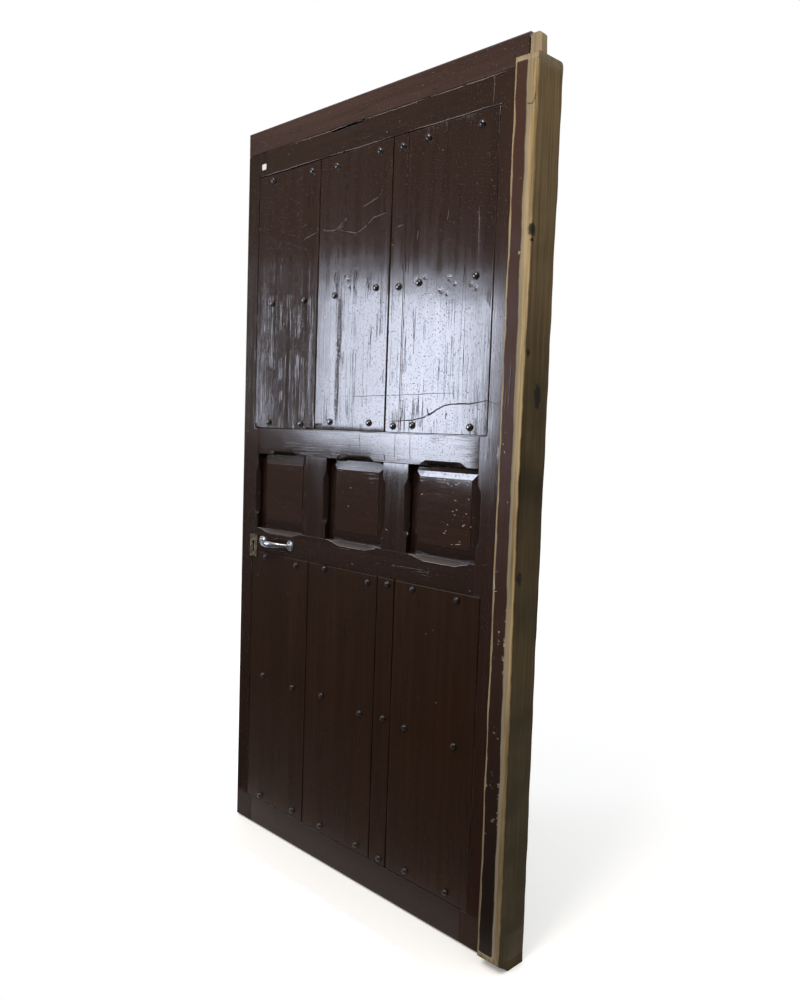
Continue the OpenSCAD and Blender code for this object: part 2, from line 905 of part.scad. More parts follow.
// Strip nailed on top of the leaf, with worn top edges
module top_strip() {
    color(PAINT) in_frame() difference() {
        translate([0, 0, strip_z])
            rotate([90, 0, 90])
                linear_extrude(leaf_w)
                    strip_section();
        strip_nail_holes();
    }
}
module strip_section() {
    difference() {
        square([leaf_t, strip_h]);
        translate([strip_round, strip_h - strip_round])
            worn_corner(strip_round);
        translate([leaf_t - strip_round, strip_h - strip_round])
            mirror([1, 0])
                worn_corner(strip_round);
    }
}

// Nails through the strip into the top rail
module strip_nails() {
    color(STEEL) in_frame() for (x = nail_places)
        translate([x, leaf_t / 2, strip_z + strip_h - nail_l])
            cylinder(d = nail_d, h = nail_l);
}
module strip_nail_holes() {
    for (x = nail_places)
        translate([x, leaf_t / 2, strip_z + strip_h - nail_l])
            cylinder(d = nail_d + fit, h = nail_l + 1);
}

// Cast pull handle: a bow that swells in the middle, on two low domed feet
module pull_handle() {
    rings = [for (i = [0 : bow_stations]) bow_ring(-1 + 2 * i / bow_stations)];
    last = bow_stations * bow_sides;
    sides = [
        for (i = [0 : bow_stations - 1], k = [0 : bow_sides - 1])
            let (a = i * bow_sides + k, b = i * bow_sides + (k + 1) % bow_sides)
                [b, a, a + bow_sides, b + bow_sides]
    ];
    first_cap = [for (k = [0 : bow_sides - 1]) k];
    last_cap = [for (k = [bow_sides - 1 : -1 : 0]) last + k];
    color(CHROME) in_frame() difference() {
        translate([handle_x, 0, handle_z]) {
            translate([handle_span / 2, 0, 0])
                polyhedron([for (ring = rings) each ring], concat([first_cap], sides, [last_cap]));
            for (x = [0, handle_span])
                translate([x, 0, 0])
                    drive_back()
                        handle_foot();
        }
        handle_screw_places() screw_hole(handle_screw);
    }
}
module handle_foot() {
    foot_r = handle_foot_d / 2;
    cylinder(r = foot_r, h = handle_foot_h / 2);
    cylinder(r1 = foot_r, r2 = foot_r - 2, h = handle_foot_h);
}

// Screws in the handle's feet
module handle_screws() {
    color(STEEL) in_frame() handle_screw_places() screw(handle_screw);
}

// Keyhole plate with rounded corners
module keyhole_plate() {
    r = plate_corner_r;
    x0 = keyhole_x - plate_w / 2;
    color(PLATE_METAL) in_frame() difference() {
        translate([x0, 0, plate_z])
            rotate([90, 0, 0])
                linear_extrude(plate_t) {
                    translate([r, 0])
                        square([plate_w - 2 * r, plate_h]);
                    translate([0, r])
                        square([plate_w, plate_h - 2 * r]);
                    for (x = [r, plate_w - r], z = [r, plate_h - r])
                        translate([x, z])
                            circle(r);
                }
        keyhole(1);
        plate_pin_places() screw_hole(plate_pin);
    }
}

// Pins that hold the keyhole plate
module plate_pins() {
    color(PLATE_METAL) in_frame() plate_pin_places() screw(plate_pin);
}

// Lock case with its forend and the guide post of the bolt
module lock_case() {
    color(STEEL) in_frame() difference() {
        union() {
            box([0, forend_y, case_z0 - forend_over], [forend_t, forend_y + forend_w, case_z1 + forend_over]);
            difference() {
                box([forend_t, case_y, case_z0], [case_x1, case_y + case_t, case_z1]);
                box([forend_t, inner_y, case_z0 + case_wall],
                    [case_x1 - case_wall, case_y + case_t + 1, case_z1 - case_wall]);
            }
            translate([guide_x, case_y, guide_z])
                rotate([-90, 0, 0])
                    cylinder(r = guide_r, h = cover_y - fit - case_y);
        }
        box([-1, bolt_y - fit, bolt_z - fit], [forend_t + 1, bolt_y + bolt_t + fit, bolt_z + bolt_h + fit]);
        keyhole(inner_y + 1);
        forend_screw_places() screw_hole(forend_screw);
    }
}

// Cover of the lock case
module lock_cover() {
    color(STEEL) in_frame()
        box([forend_t, cover_y, case_z0 + case_wall + fit],
            [case_x1 - case_wall - fit, case_y + case_t, case_z1 - case_wall - fit]);
}

// Dead bolt: a solid head and a slotted tail with a notch for the key
module dead_bolt() {
    tail_x1 = bolt_head_l + tail_l;
    slot_r = guide_r + fit;
    color(STEEL) in_frame() difference() {
        union() {
            box([0, bolt_y, bolt_z], [bolt_head_l, bolt_y + bolt_t, bolt_z + bolt_h]);
            box([bolt_head_l - 1, tail_y, tail_z0], [tail_x1, tail_y + tail_t, tail_z1]);
        }
        for (x = [guide_x, guide_x + bolt_throw])
            translate([x, tail_y - 1, guide_z])
                rotate([-90, 0, 0])
                    cylinder(r = slot_r, h = tail_t + 2);
        box([guide_x, tail_y - 1, guide_z - slot_r], [guide_x + bolt_throw, tail_y + tail_t + 1, guide_z + slot_r]);
        box([keyhole_x - talon_w / 2, tail_y - 1, tail_z0 - 1],
            [keyhole_x + talon_w / 2, tail_y + tail_t + 1, tail_z0 + talon_h]);
    }
}

// Leaf spring on the bolt's tail, pressing up under the case
module bolt_spring() {
    foot_x = bolt_head_l + tail_l;
    tip_x = bolt_head_l + 6;
    tip_z = case_z1 - case_wall - fit;
    color(STEEL) in_frame()
        translate([0, case_y + case_t / 2 + spring_w / 2, 0])
            rotate([90, 0, 0])
                linear_extrude(spring_w)
                    polygon([
                        [foot_x - 10, tail_z1], [foot_x, tail_z1], [foot_x, tail_z1 + spring_t],
                        [foot_x - 9, tail_z1 + spring_t], [tip_x, tip_z], [tip_x, tip_z - spring_t]
                    ]);
}

// Screws in the forend
module forend_screws() {
    color(STEEL) in_frame() forend_screw_places() screw(forend_screw);
}

// Hinge plate with its knuckles: side is -1 on the leaf and 1 on the jamb
module hinge_plate(level, side) {
    knuckle_h = hinge_h / hinge_knuckles;
    plate_back = leaf_t - hinge_y;
    first = side > 0 ? 0 : 1;
    bore_r = hinge_pin_d / 2 + (side > 0 ? fixed_clearance : pin_clearance);
    color(STEEL) in_frame() difference() {
        translate([hinge_x, hinge_y, level])
            mirror([side > 0 ? 0 : 1, 0, 0])
                difference() {
                    union() {
                        box([hinge_gap / 2, plate_back - hinge_plate_w, 0],
                            [hinge_gap / 2 + hinge_plate_t, plate_back, hinge_h]);
                        for (i = [first : 2 : hinge_knuckles - 1])
                            translate([0, 0, i * knuckle_h + knuckle_clearance / 2])
                                knuckle(knuckle_h - knuckle_clearance, plate_back);
                    }
                    translate([0, 0, -1])
                        cylinder(r = bore_r, h = hinge_h + 2);
                }
        if (side > 0)
            jamb_hinge_screw_places(level) screw_hole(hinge_screw);
        else
            leaf_hinge_screw_places(level) screw_hole(hinge_screw);
    }
}

// One knuckle with the neck that joins it to its plate
module knuckle(height, plate_back) {
    cylinder(r = barrel_r, h = height);
    box([hinge_gap / 2, plate_back - 1, 0], [hinge_gap / 2 + hinge_plate_t, 0, height]);
}
module lower_hinge_leaf_plate() {
    hinge_plate(hinge_levels[0], -1);
}
module middle_hinge_leaf_plate() {
    hinge_plate(hinge_levels[1], -1);
}
module upper_hinge_leaf_plate() {
    hinge_plate(hinge_levels[2], -1);
}
module lower_hinge_jamb_plate() {
    hinge_plate(hinge_levels[0], 1);
}
module middle_hinge_jamb_plate() {
    hinge_plate(hinge_levels[1], 1);
}
module upper_hinge_jamb_plate() {
    hinge_plate(hinge_levels[2], 1);
}

// Hinge pin with a button at each end
module hinge_pin(level) {
    color(STEEL) in_frame() translate([hinge_x, hinge_y, level]) {
        cylinder(d = hinge_pin_d, h = hinge_h);
        translate([0, 0, hinge_h])
            cylinder(r1 = pin_head_r, r2 = pin_head_r - 2, h = pin_head_h);
        translate([0, 0, -pin_head_h])
            cylinder(r1 = pin_head_r - 2, r2 = pin_head_r, h = pin_head_h);
    }
}
module lower_hinge_pin() {
    hinge_pin(hinge_levels[0]);
}
module middle_hinge_pin() {
    hinge_pin(hinge_levels[1]);
}
module upper_hinge_pin() {
    hinge_pin(hinge_levels[2]);
}

// Screws of all three hinges in the leaf and in the jamb
module leaf_hinge_screws() {
    color(STEEL) in_frame() for (level = hinge_levels)
        leaf_hinge_screw_places(level) screw(hinge_screw);
}
module jamb_hinge_screws() {
    color(STEEL) in_frame() for (level = hinge_levels)
        jamb_hinge_screw_places(level) screw(hinge_screw);
}

jamb_post();
lock_stile();
hanging_stile();
bottom_rail();
lock_rail();
upper_rail();
top_rail();
left_muntin();
right_muntin();
left_panel();
middle_panel();
right_panel();
upper_left_board();
upper_middle_board();
upper_narrow_board();
upper_right_board();
lower_left_board();
lower_middle_board();
lower_narrow_board();
lower_right_board();
upper_ledge();
lower_ledge();
upper_studs();
lower_studs();
top_strip();
strip_nails();
pull_handle();
handle_screws();
keyhole_plate();
plate_pins();
lock_case();
lock_cover();
dead_bolt();
bolt_spring();
forend_screws();
upper_hinge_leaf_plate();
middle_hinge_leaf_plate();
lower_hinge_leaf_plate();
upper_hinge_jamb_plate();
middle_hinge_jamb_plate();
lower_hinge_jamb_plate();
upper_hinge_pin();
middle_hinge_pin();
lower_hinge_pin();
leaf_hinge_screws();
jamb_hinge_screws();
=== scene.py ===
"""Looks of an old studded panel door on its jamb post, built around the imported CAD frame."""

import logging
import math
from collections.abc import Callable
from dataclasses import dataclass, field, replace
from enum import Enum
from functools import partial
from typing import Any

import bmesh
import bpy
from mathutils import Matrix, Vector, noise

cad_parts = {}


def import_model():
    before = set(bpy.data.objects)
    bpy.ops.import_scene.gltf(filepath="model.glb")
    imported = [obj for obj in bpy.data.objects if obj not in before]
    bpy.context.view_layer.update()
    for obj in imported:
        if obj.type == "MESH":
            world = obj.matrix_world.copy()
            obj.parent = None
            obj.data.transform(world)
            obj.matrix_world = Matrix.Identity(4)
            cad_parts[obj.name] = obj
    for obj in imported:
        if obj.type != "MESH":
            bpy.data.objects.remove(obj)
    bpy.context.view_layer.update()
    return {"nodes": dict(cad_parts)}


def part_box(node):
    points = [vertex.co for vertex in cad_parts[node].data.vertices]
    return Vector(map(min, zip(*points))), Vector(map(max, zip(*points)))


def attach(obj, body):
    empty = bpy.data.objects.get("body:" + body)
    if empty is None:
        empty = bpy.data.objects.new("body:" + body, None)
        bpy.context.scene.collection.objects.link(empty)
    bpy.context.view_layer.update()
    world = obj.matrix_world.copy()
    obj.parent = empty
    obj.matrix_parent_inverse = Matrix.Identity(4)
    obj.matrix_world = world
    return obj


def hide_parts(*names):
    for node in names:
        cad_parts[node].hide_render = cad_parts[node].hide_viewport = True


Pair = tuple[float, float]
Triple = tuple[float, float, float]
Ramp = tuple[float, float, float, float]
Colour = tuple[float, float, float, float]
Nodes = dict[str, bpy.types.Object]
AddNode = Callable[..., bpy.types.NodeSocket]

MM = 0.001
ACROSS = Vector((1, 0, 0))
UPWARD = Vector((0, 0, 1))
# Corners closer than this are one, and a cut this close to a corner goes through it
SAME_PLACE = 0.01 * MM
CUT_REACH = 1e-6
# Faces that turn by less than this are one face
SAME_FACE = math.radians(0.6)
# Settings of a Mix node for colours, and the place of their output
COLOURS: dict[str, Any] = {"data_type": "RGBA", "out": 2}
log = logging.getLogger("panel_door")


class Grain(Enum):
    """Which way the wood's grain runs in the leaf."""

    UPRIGHT = (1.0, 1.0, 1.0 / 30.0)
    LYING = (1.0 / 30.0, 1.0, 1.0)


class Body(Enum):
    """Bodies of the door that pieces ride on."""

    JAMB = "jamb"
    LEAF = "leaf"


class Slot(Enum):
    """Material slots of the record, which this script gives to no piece."""

    PAINT = "painted_wood"
    BARE = "bare_wood"
    IRON = "stud_iron"
    CHROME = "chrome"
    PLATE = "plate_metal"


def linear(colour: str) -> Colour:
    """Turns an sRGB hex colour into linear RGBA.

    Args:
        colour: hex colour such as "#3a2822".

    Returns:
        Linear red, green and blue, and an alpha of 1.
    """
    channels = [int(colour[i : i + 2], 16) / 255.0 for i in (1, 3, 5)]
    red, green, blue = [c / 12.92 if c <= 0.04045 else ((c + 0.055) / 1.055) ** 2.4 for c in channels]
    return (red, green, blue, 1.0)


def add(
    tree: bpy.types.NodeTree, kind: str, *values: Any, out: int | str = 0, **named: Any
) -> bpy.types.NodeSocket:
    """Adds a shader node with its settings and links.

    Args:
        tree: node tree that takes the node.
        kind: type name of the node, without its prefix.
        values: its first inputs in their order, each a socket to link or a value to set.
        out: index or name of the wanted output.
        named: further inputs by identifier, with _ for a blank, and settings, which have small initials.

    Returns:
        The wanted output, whose node holds the others.
    """
    node = tree.nodes.new("ShaderNode" + kind)
    for name in [name for name in named if name[0].islower()]:
        setattr(node, name, named.pop(name))
    sockets = {socket.identifier.replace(" ", "_"): socket for socket in node.inputs}
    inputs = [*zip(node.inputs, values), *((sockets[name], value) for name, value in named.items())]
    for socket, value in inputs:
        if isinstance(value, bpy.types.NodeSocket):
            tree.links.new(value, socket)
        else:
            socket.default_value = value
    return node.outputs[out]


def new_material(name: str) -> tuple[bpy.types.Material, AddNode]:
    """Makes an empty node material.

    Args:
        name: name of the real material and its surface.

    Returns:
        The material, and the function that adds nodes to it.
    """
    material = bpy.data.materials.new(name)
    material.use_nodes = True
    material.node_tree.nodes.clear()
    return material, partial(add, material.node_tree)


def surface(material: bpy.types.Material, **inputs: Any) -> bpy.types.Material:
    """Closes a material with its Principled shader.

    Args:
        material: material whose patterns are ready.
        inputs: inputs of the shader, named as for add.

    Returns:
        The finished material.
    """
    tree = material.node_tree
    output = tree.nodes.new("ShaderNodeOutputMaterial")
    tree.links.new(add(tree, "BsdfPrincipled", **inputs), output.inputs["Surface"])
    return material


def millimetres(node: AddNode) -> bpy.types.NodeSocket:
    """Gives a piece's own coordinates in millimetres."""
    return node("VectorMath", node("TexCoord", out="Object"), Scale=1.0 / MM, operation="SCALE")


def spot_reach(
    node: AddNode,
    place: bpy.types.NodeSocket,
    middle: Triple,
    upward: float,
    pattern: bpy.types.NodeSocket,
    ragged: float,
) -> bpy.types.NodeSocket:
    """Measures how far a place is from the middle of a spot with a ragged rim.

    Args:
        node: function that adds nodes.
        place: coordinates in millimetres.
        middle: middle of the spot.
        upward: factor on the height above the middle, which makes the spot an oval.
        pattern: pattern that roughens the rim.
        ragged: reach of that pattern in millimetres.

    Returns:
        The distance in millimetres.
    """
    away = node("VectorMath", place, middle, operation="SUBTRACT")
    oval = node("VectorMath", away, (1.0, 1.0, upward), operation="MULTIPLY")
    length = node("VectorMath", oval, operation="LENGTH", out="Value")
    return node("Math", pattern, ragged, length, operation="MULTIPLY_ADD")


@dataclass(frozen=True)
class Dent:
    """A knock in painted wood: its place in the frame, radius and depth, in millimetres.

    A dent with a stretch is that many times longer upward than across.
    """

    place: Triple
    radius: float
    depth: float
    stretch: float = 1.0


@dataclass(frozen=True)
class GlossPaint:
    """Brushed brown oil paint on coarse softwood: thick gloss that follows the furrows of the grain.

    To the eye it is a near-black brown with a sharp, streaky mirror of the window, rubbed paler on arrises.
    Widths and depths are in millimetres, and a band holds the levels between which a pattern fades in.
    Painted shade in the recess: sunk gives a depth where the colour starts to darken, one where it ends,
    and the share left there.
    Dull_below is a low and a high level, and a factor on the gloss at the low one.
    """

    name: str
    grain: Grain
    coat: str = "#2e1b14"
    shade: str = "#1d110b"
    rubbed: str = "#6b574a"
    dust: str = "#665953"
    dust_share: float = 0.45
    dust_slope: Pair = (0.35, 0.65)
    dust_band: Pair = (0.30, 0.55)
    dust_least: float = 0.55
    dust_roughness: float = 0.6
    dust_gloss: float = 0.1
    roughness: float = 0.11
    sheen_spread: float = 0.025
    sheen_band: Pair = (0.3, 0.7)
    specular: float = 0.5
    grain_width: float = 3.0
    grain_depth: float = 0.06
    furrow_width: float = 16.0
    furrow_depth: float = 0.22
    furrow_line: float = 0.022
    furrow_band: Pair = (0.46, 0.60)
    ridge_share: float = 0.6
    swell_width: float = 85.0
    swell_depth: float = 0.45
    pit_width: float = 4.5
    pit_depth: float = 0.3
    pit_level: float = 0.67
    pit_rim: float = 0.05
    wear: float = 0.5
    wear_band: Pair = (0.35, 0.65)
    recess_shade: Triple = (0.0, 1.0, 1.0)
    dull_below: Triple = (0.0, 1.0, 1.0)
    dents: tuple[Dent, ...] = ()
    dent_rim: Pair = (0.7, 1.7)
    dent_ragged: float = 1.6

    def material(self) -> bpy.types.Material:
        """Builds the material.

        Returns:
            The finished material.
        """
        material, node = new_material(self.name)
        place = millimetres(node)
        axes = node("SeparateXYZ", place).node.outputs
        along = node("VectorMath", place, self.grain.value, operation="MULTIPLY")
        grain = node("TexNoise", along, Scale=1.0 / self.grain_width, Detail=3.0, Roughness=0.6)
        wander = node("TexNoise", along, Scale=1.0 / self.furrow_width, Detail=4.0, Roughness=0.52)
        swell = node("TexNoise", place, Scale=1.0 / self.swell_width, Detail=1.0)
        specks = node("TexNoise", place, Scale=1.0 / self.pit_width, Detail=1.0)
        offset = node("Math", wander, 0.5, operation="SUBTRACT")
        nearness = node("Math", offset, operation="ABSOLUTE")
        line = node(
            "MapRange", nearness, 0.0, self.furrow_line, 1.0, 0.0, interpolation_type="SMOOTHSTEP"
        )
        stretches = node("MapRange", swell, *self.furrow_band)
        furrow = node("Math", line, stretches, operation="MULTIPLY")
        pits = node("MapRange", specks, self.pit_level, self.pit_level + self.pit_rim)
        height = node("Math", grain, self.grain_depth * MM, operation="MULTIPLY")
        layers = (
            (wander, self.furrow_depth * self.ridge_share),
            (furrow, -self.furrow_depth),
            (swell, self.swell_depth),
            (pits, -self.pit_depth),
        )
        for layer, depth in layers:
            height = node("Math", layer, depth * MM, height, operation="MULTIPLY_ADD")
        for dent in self.dents:
            ragged = self.dent_ragged * dent.radius
            reach = spot_reach(node, place, dent.place, 1.0 / dent.stretch, specks, ragged)
            rim = [share * dent.radius for share in self.dent_rim]
            depth = -dent.depth * MM
            hollow = node("MapRange", reach, *rim, depth, 0.0, interpolation_type="SMOOTHSTEP")
            height = node("Math", height, hollow, operation="ADD")
        bump = node("Bump", Strength=1.0, Distance=1.0, Height=height)

        edge = node("Attribute", out="Fac", attribute_name="rubbed")
        patch = node("MapRange", swell, *self.wear_band, 0.0, self.wear)
        rubbed = node("Math", edge, patch, operation="MULTIPLY")
        facing = node("SeparateXYZ", node("NewGeometry", out="Normal"), out="Z")
        settled = node("MapRange", facing, *self.dust_slope, 0.0, self.dust_share)
        ragged = node("MapRange", specks, *self.dust_band, self.dust_least)
        dusty = node("Math", settled, ragged, operation="MULTIPLY")
        colour = node("Mix", wander, A_Color=linear(self.shade), B_Color=linear(self.coat), **COLOURS)
        for share, over in ((furrow, self.shade), (rubbed, self.rubbed), (dusty, self.dust)):
            colour = node("Mix", share, A_Color=colour, B_Color=linear(over), **COLOURS)
        # Painted shade: the colour darkens with depth into the recess, where less light reaches
        start, end, left = self.recess_shade
        deep = node("MapRange", axes["Y"], start, end, 1.0, left)
        shaded = node("VectorMath", colour, Scale=deep, operation="SCALE")

        least, most = self.roughness - self.sheen_spread, self.roughness + self.sheen_spread
        sheen = node("MapRange", wander, *self.sheen_band, least, most)
        sheen = node("Math", dusty, self.dust_roughness, sheen, operation="MULTIPLY_ADD")
        clean = node("MapRange", dusty, 0.0, 1.0, self.specular, self.dust_gloss * self.specular)
        low, high, share = self.dull_below
        gleam = node("MapRange", axes["Z"], low, high, share, 1.0)
        gleam = node("Math", gleam, clean, operation="MULTIPLY")
        return surface(
            material, Base_Color=shaded, Roughness=sheen, Normal=bump, Specular_IOR_Level=gleam
        )


@dataclass(frozen=True)
class AgedPine:
    """Sawn pine, long bare and handled: straw on fresh arrises, olive-brown and grimy, dark knots, with
    painted shade on its side.

    Widths and reaches are in millimetres. A ramp holds two levels of a height or a pattern, and the values
    there. Strip_fades say how the paint fades at the strip's left, right, depth, foot and head.
    """

    name: str = "aged_bare_pine"
    fresh: str = "#b5a07a"
    aged: str = "#76623f"
    amber: str = "#927246"
    grime_and_shade: str = "#2a2008"
    knot: str = "#130c07"
    paint: str = "#40291f"
    low_paint: str = "#1a100a"
    primer: str = "#857b69"
    ring_width: float = 7.0
    ring_band: Pair = (0.32, 0.66)
    ring_relief: float = 0.5
    ring_grime: float = -0.03
    fibre_width: float = 2.5
    fibre_relief: float = 0.25
    stretch: float = 1.0 / 40.0
    stain_width: float = 150.0
    stain_grime: Ramp = (0.38, 0.70, -0.05, 0.08)
    blur_width: float = 9.0
    lap_width: float = 42.0
    lap_reach: float = 8.0
    lap_band: Pair = (2.5, 8.0)
    creep: Ramp = (1600.0, 1150.0, 0.0, 5.0)
    ebb: Ramp = (1000.0, 600.0, 1.0, 0.0)
    side_band: Pair = (-7.5, -6.0)
    side_shade_and_grime: Pair = (0.58, 0.97)
    side_full: float = 0.55
    foot_darkening: Ramp = (1000.0, 100.0, 0.02, 0.50)
    glow: Ramp = (0.0, 0.6, 0.0, 0.45)
    knot_rim: Pair = (1.2, 1.65)
    knot_ragged: float = 1.2
    primed: Ramp = (0.02, 0.4, 0.0, 0.8)
    weathered: Pair = (-26.0, -4.0)
    covered: Pair = (0.62, 0.78)
    paint_shade_heights: Pair = (150.0, 1250.0)
    roughness: Pair = (0.72, 0.38)
    specular: float = 0.12
    waver_width: float = 60.0
    waver_reach: float = 9.0
    spread: Ramp = (1900.0, 100.0, 0.0, -11.0)
    strip_fades: tuple[Pair, ...] = ((8.0, 11.5), (15.5, 0.5), (4.0, 1.5), (30.0, 40.0), (-6.0, -12.0))
    scuff_width: float = 16.0
    scuff_band: Pair = (0.74, 0.68)
    scuff_zones: tuple[Triple, ...] = ((640.0, 760.0, 860.0), (250.0, 440.0, 600.0))
    scuff_share: float = 0.3

    def material(self, post: "JambPost") -> bpy.types.Material:
        """Builds the material.

        Args:
            post: the jamb post, whose paint strip and knots it shows.

        Returns:
            The finished material.
        """
        material, node = new_material(self.name)
        place = millimetres(node)
        axes = node("SeparateXYZ", place).node.outputs
        along = node("VectorMath", place, (1.0, 1.0, self.stretch), operation="MULTIPLY")
        rings = node("TexNoise", along, Scale=1.0 / self.ring_width, Detail=4.0, Roughness=0.6)
        fibre = node("TexNoise", along, Scale=1.0 / self.fibre_width, Detail=2.0)
        stain = node("TexNoise", place, Scale=1.0 / self.stain_width, Detail=4.0)
        blur = node("TexNoise", place, Scale=1.0 / self.blur_width, Detail=2.0)
        banding = node("MapRange", rings, *self.ring_band)
        around = self.side_mask(node, post, axes, place)
        high = post.shoulder_mm
        # Painted shade on the side that faces away from the light, together with real grime; it deepens
        # towards the bottom
        low = node("MapRange", axes["Z"], high, self.side_full * high, *self.side_shade_and_grime)
        outer = node("MapRange", axes["X"], *(post.side_mm + k for k in self.side_band), 0.0, low)
        side = node("Math", outer, around, operation="MULTIPLY")
        # Darker towards the bottom of the post
        foot = node("MapRange", axes["Z"], *self.foot_darkening)
        spots = node("MapRange", stain, *self.stain_grime)
        spots = node("Math", banding, self.ring_grime, spots, operation="MULTIPLY_ADD")
        shade_and_dirt = node("Math", side, foot, operation="MAXIMUM")
        shade_and_dirt = node("Math", shade_and_dirt, spots, operation="ADD", use_clamp=True)
        layers = [(node("MapRange", around, *self.glow), self.amber), (shade_and_dirt, self.grime_and_shade)]
        for knot in post.knots:
            ragged = self.knot_ragged * knot.radius_mm
            reach = spot_reach(node, place, knot.place_mm, knot.flatness, blur, ragged)
            rim = [share * knot.radius_mm for share in self.knot_rim]
            layers.append((node("MapRange", reach, *rim, knot.depth, 0.0), self.knot))
        painted = self.paint_mask(node, post, axes, place)
        primed = node("MapRange", painted, *self.primed)
        weathered = node("MapRange", axes["Z"], *(high + k for k in self.weathered), 0.0, blur)
        primed = node("Math", primed, weathered, operation="MAXIMUM")
        layers.append((primed, self.primer))
        wood = node("Mix", banding, A_Color=linear(self.aged), B_Color=linear(self.fresh), **COLOURS)
        for share, over in layers:
            wood = node("Mix", share, A_Color=wood, B_Color=linear(over), **COLOURS)
        # Painted shade: the strip of paint darkens towards the bottom, between the two heights
        level = node("MapRange", axes["Z"], *self.paint_shade_heights)
        coat = node("Mix", level, A_Color=linear(self.low_paint), B_Color=linear(self.paint), **COLOURS)
        covered = node("MapRange", painted, *self.covered)
        colour = node("Mix", covered, A_Color=wood, B_Color=coat, **COLOURS)
        rough = node("MapRange", painted, 0.0, 1.0, *self.roughness)
        height = node("Math", fibre, self.fibre_relief * MM, operation="MULTIPLY")
        height = node("Math", rings, self.ring_relief * MM, height, operation="MULTIPLY_ADD")
        bump = node("Bump", Strength=1.0, Distance=1.0, Height=height)
        return surface(
            material, Base_Color=colour, Roughness=rough, Normal=bump, Specular_IOR_Level=self.specular
        )

    def side_mask(
        self, node: AddNode, post: "JambPost", axes: bpy.types.NodeOutputs, place: bpy.types.NodeSocket
    ) -> bpy.types.NodeSocket:
        """Shows where the front turns into the side, which is grimy and carries painted shade, with a
        ragged edge.

        Args:
            node: function that adds nodes.
            post: the jamb post.
            axes: outputs of the separated coordinates.
            place: coordinates in millimetres.

        Returns:
            Mask that is 1 on the side.
        """
        lapping = node("TexNoise", place, Scale=1.0 / self.lap_width, Detail=4.0)
        creep = node("MapRange", axes["Z"], *self.creep)
        ebb = node("MapRange", axes["Z"], *self.ebb)
        creep = node("Math", creep, ebb, operation="MULTIPLY")
        depth = node("Math", axes["X"], axes["Y"], operation="ADD")
        depth = node("Math", depth, creep, operation="ADD")
        depth = node("Math", lapping, self.lap_reach, depth, operation="MULTIPLY_ADD")
        band = [post.side_mm + post.front_mm + k for k in self.lap_band]
        return node("MapRange", depth, *band, interpolation_type="SMOOTHSTEP")

    def paint_mask(
        self, node: AddNode, post: "JambPost", axes: bpy.types.NodeOutputs, place: bpy.types.NodeSocket
    ) -> bpy.types.NodeSocket:
        """Shows where the strip of door paint lies on the front of the post.

        Args:
            node: function that adds nodes.
            post: the jamb post.
            axes: outputs of the separated coordinates.
            place: coordinates in millimetres.

        Returns:
            Mask that is 1 under paint.
        """
        waver = node("TexNoise", place, Scale=1.0 / self.waver_width, Detail=3.0)
        wavering = node("Math", waver, self.waver_reach, axes["X"], operation="MULTIPLY_ADD")
        spread = node("MapRange", axes["Z"], *self.spread)
        outward = node("Math", wavering, spread, operation="ADD")
        scuff = node("TexNoise", place, Scale=1.0 / self.scuff_width, Detail=5.0, Roughness=0.65)
        for low, middle, high in self.scuff_zones:
            rise = node("MapRange", axes["Z"], low, middle, 0.0, self.scuff_share)
            fall = node("MapRange", axes["Z"], high, middle, 0.0, self.scuff_share)
            patch = node("Math", fall, rise, operation="MULTIPLY")
            scuff = node("Math", scuff, patch, operation="ADD")
        mask = node("MapRange", scuff, *self.scuff_band)
        lines = (
            (wavering, post.left_mm),
            (outward, post.left_mm + post.strip_mm),
            (axes["Y"], post.front_mm),
            (axes["Z"], 0.0),
            (axes["Z"], post.shoulder_mm),
        )
        for (value, at), fade in zip(lines, self.strip_fades):
            step = node("MapRange", value, *(at + k for k in fade))
            mask = node("Math", mask, step, operation="MULTIPLY")
        return mask


@dataclass(frozen=True)
class WornMetal:
    """Metal with a skin of grime or tarnish: bright where rubbed, dull and darker in patches."""

    name: str
    bright: str
    dull: str
    metallic: float
    roughness: float
    dulling: float = 0.2
    patch_width: float = 12.0
    patch_low: float = 0.35
    patch_high: float = 0.7
    relief: float = 0.05
    relief_width: float = 2.5
    specular: float = 0.5

    def material(self) -> bpy.types.Material:
        """Builds the material.

        Returns:
            The finished material.
        """
        material, node = new_material(self.name)
        place = millimetres(node)
        patch = node("TexNoise", place, Scale=1.0 / self.patch_width, Detail=4.0, Roughness=0.6)
        grit = node("TexNoise", place, Scale=1.0 / self.relief_width, Detail=2.0)
        tarnish = node("MapRange", patch, self.patch_low, self.patch_high)
        colour = node("Mix", tarnish, A_Color=linear(self.bright), B_Color=linear(self.dull), **COLOURS)
        most = min(1.0, self.roughness + self.dulling)
        rough = node("MapRange", tarnish, 0.0, 1.0, self.roughness, most)
        height = node("Math", grit, self.relief * MM, operation="MULTIPLY")
        return surface(
            material,
            Base_Color=colour,
            Roughness=rough,
            Normal=node("Bump", Strength=1.0, Distance=1.0, Height=height),
            Metallic=self.metallic,
            Specular_IOR_Level=self.specular,
        )


@dataclass(frozen=True)
class PlainCoat:
    """Thin matt layer, such as paper or dust in a scratch: one colour with a faint mottle."""

    name: str
    colour: str
    mottle: str
    roughness: float = 0.8
    mottle_width: float = 5.0

    def material(self) -> bpy.types.Material:
        """Builds the material.

        Returns:
            The finished material.
        """
        material, node = new_material(self.name)
        cloud = node("TexNoise", millimetres(node), Scale=1.0 / self.mottle_width, Detail=3.0)
        colour = node("Mix", cloud, A_Color=linear(self.colour), B_Color=linear(self.mottle), **COLOURS)
        return surface(material, Base_Color=colour, Roughness=self.roughness)


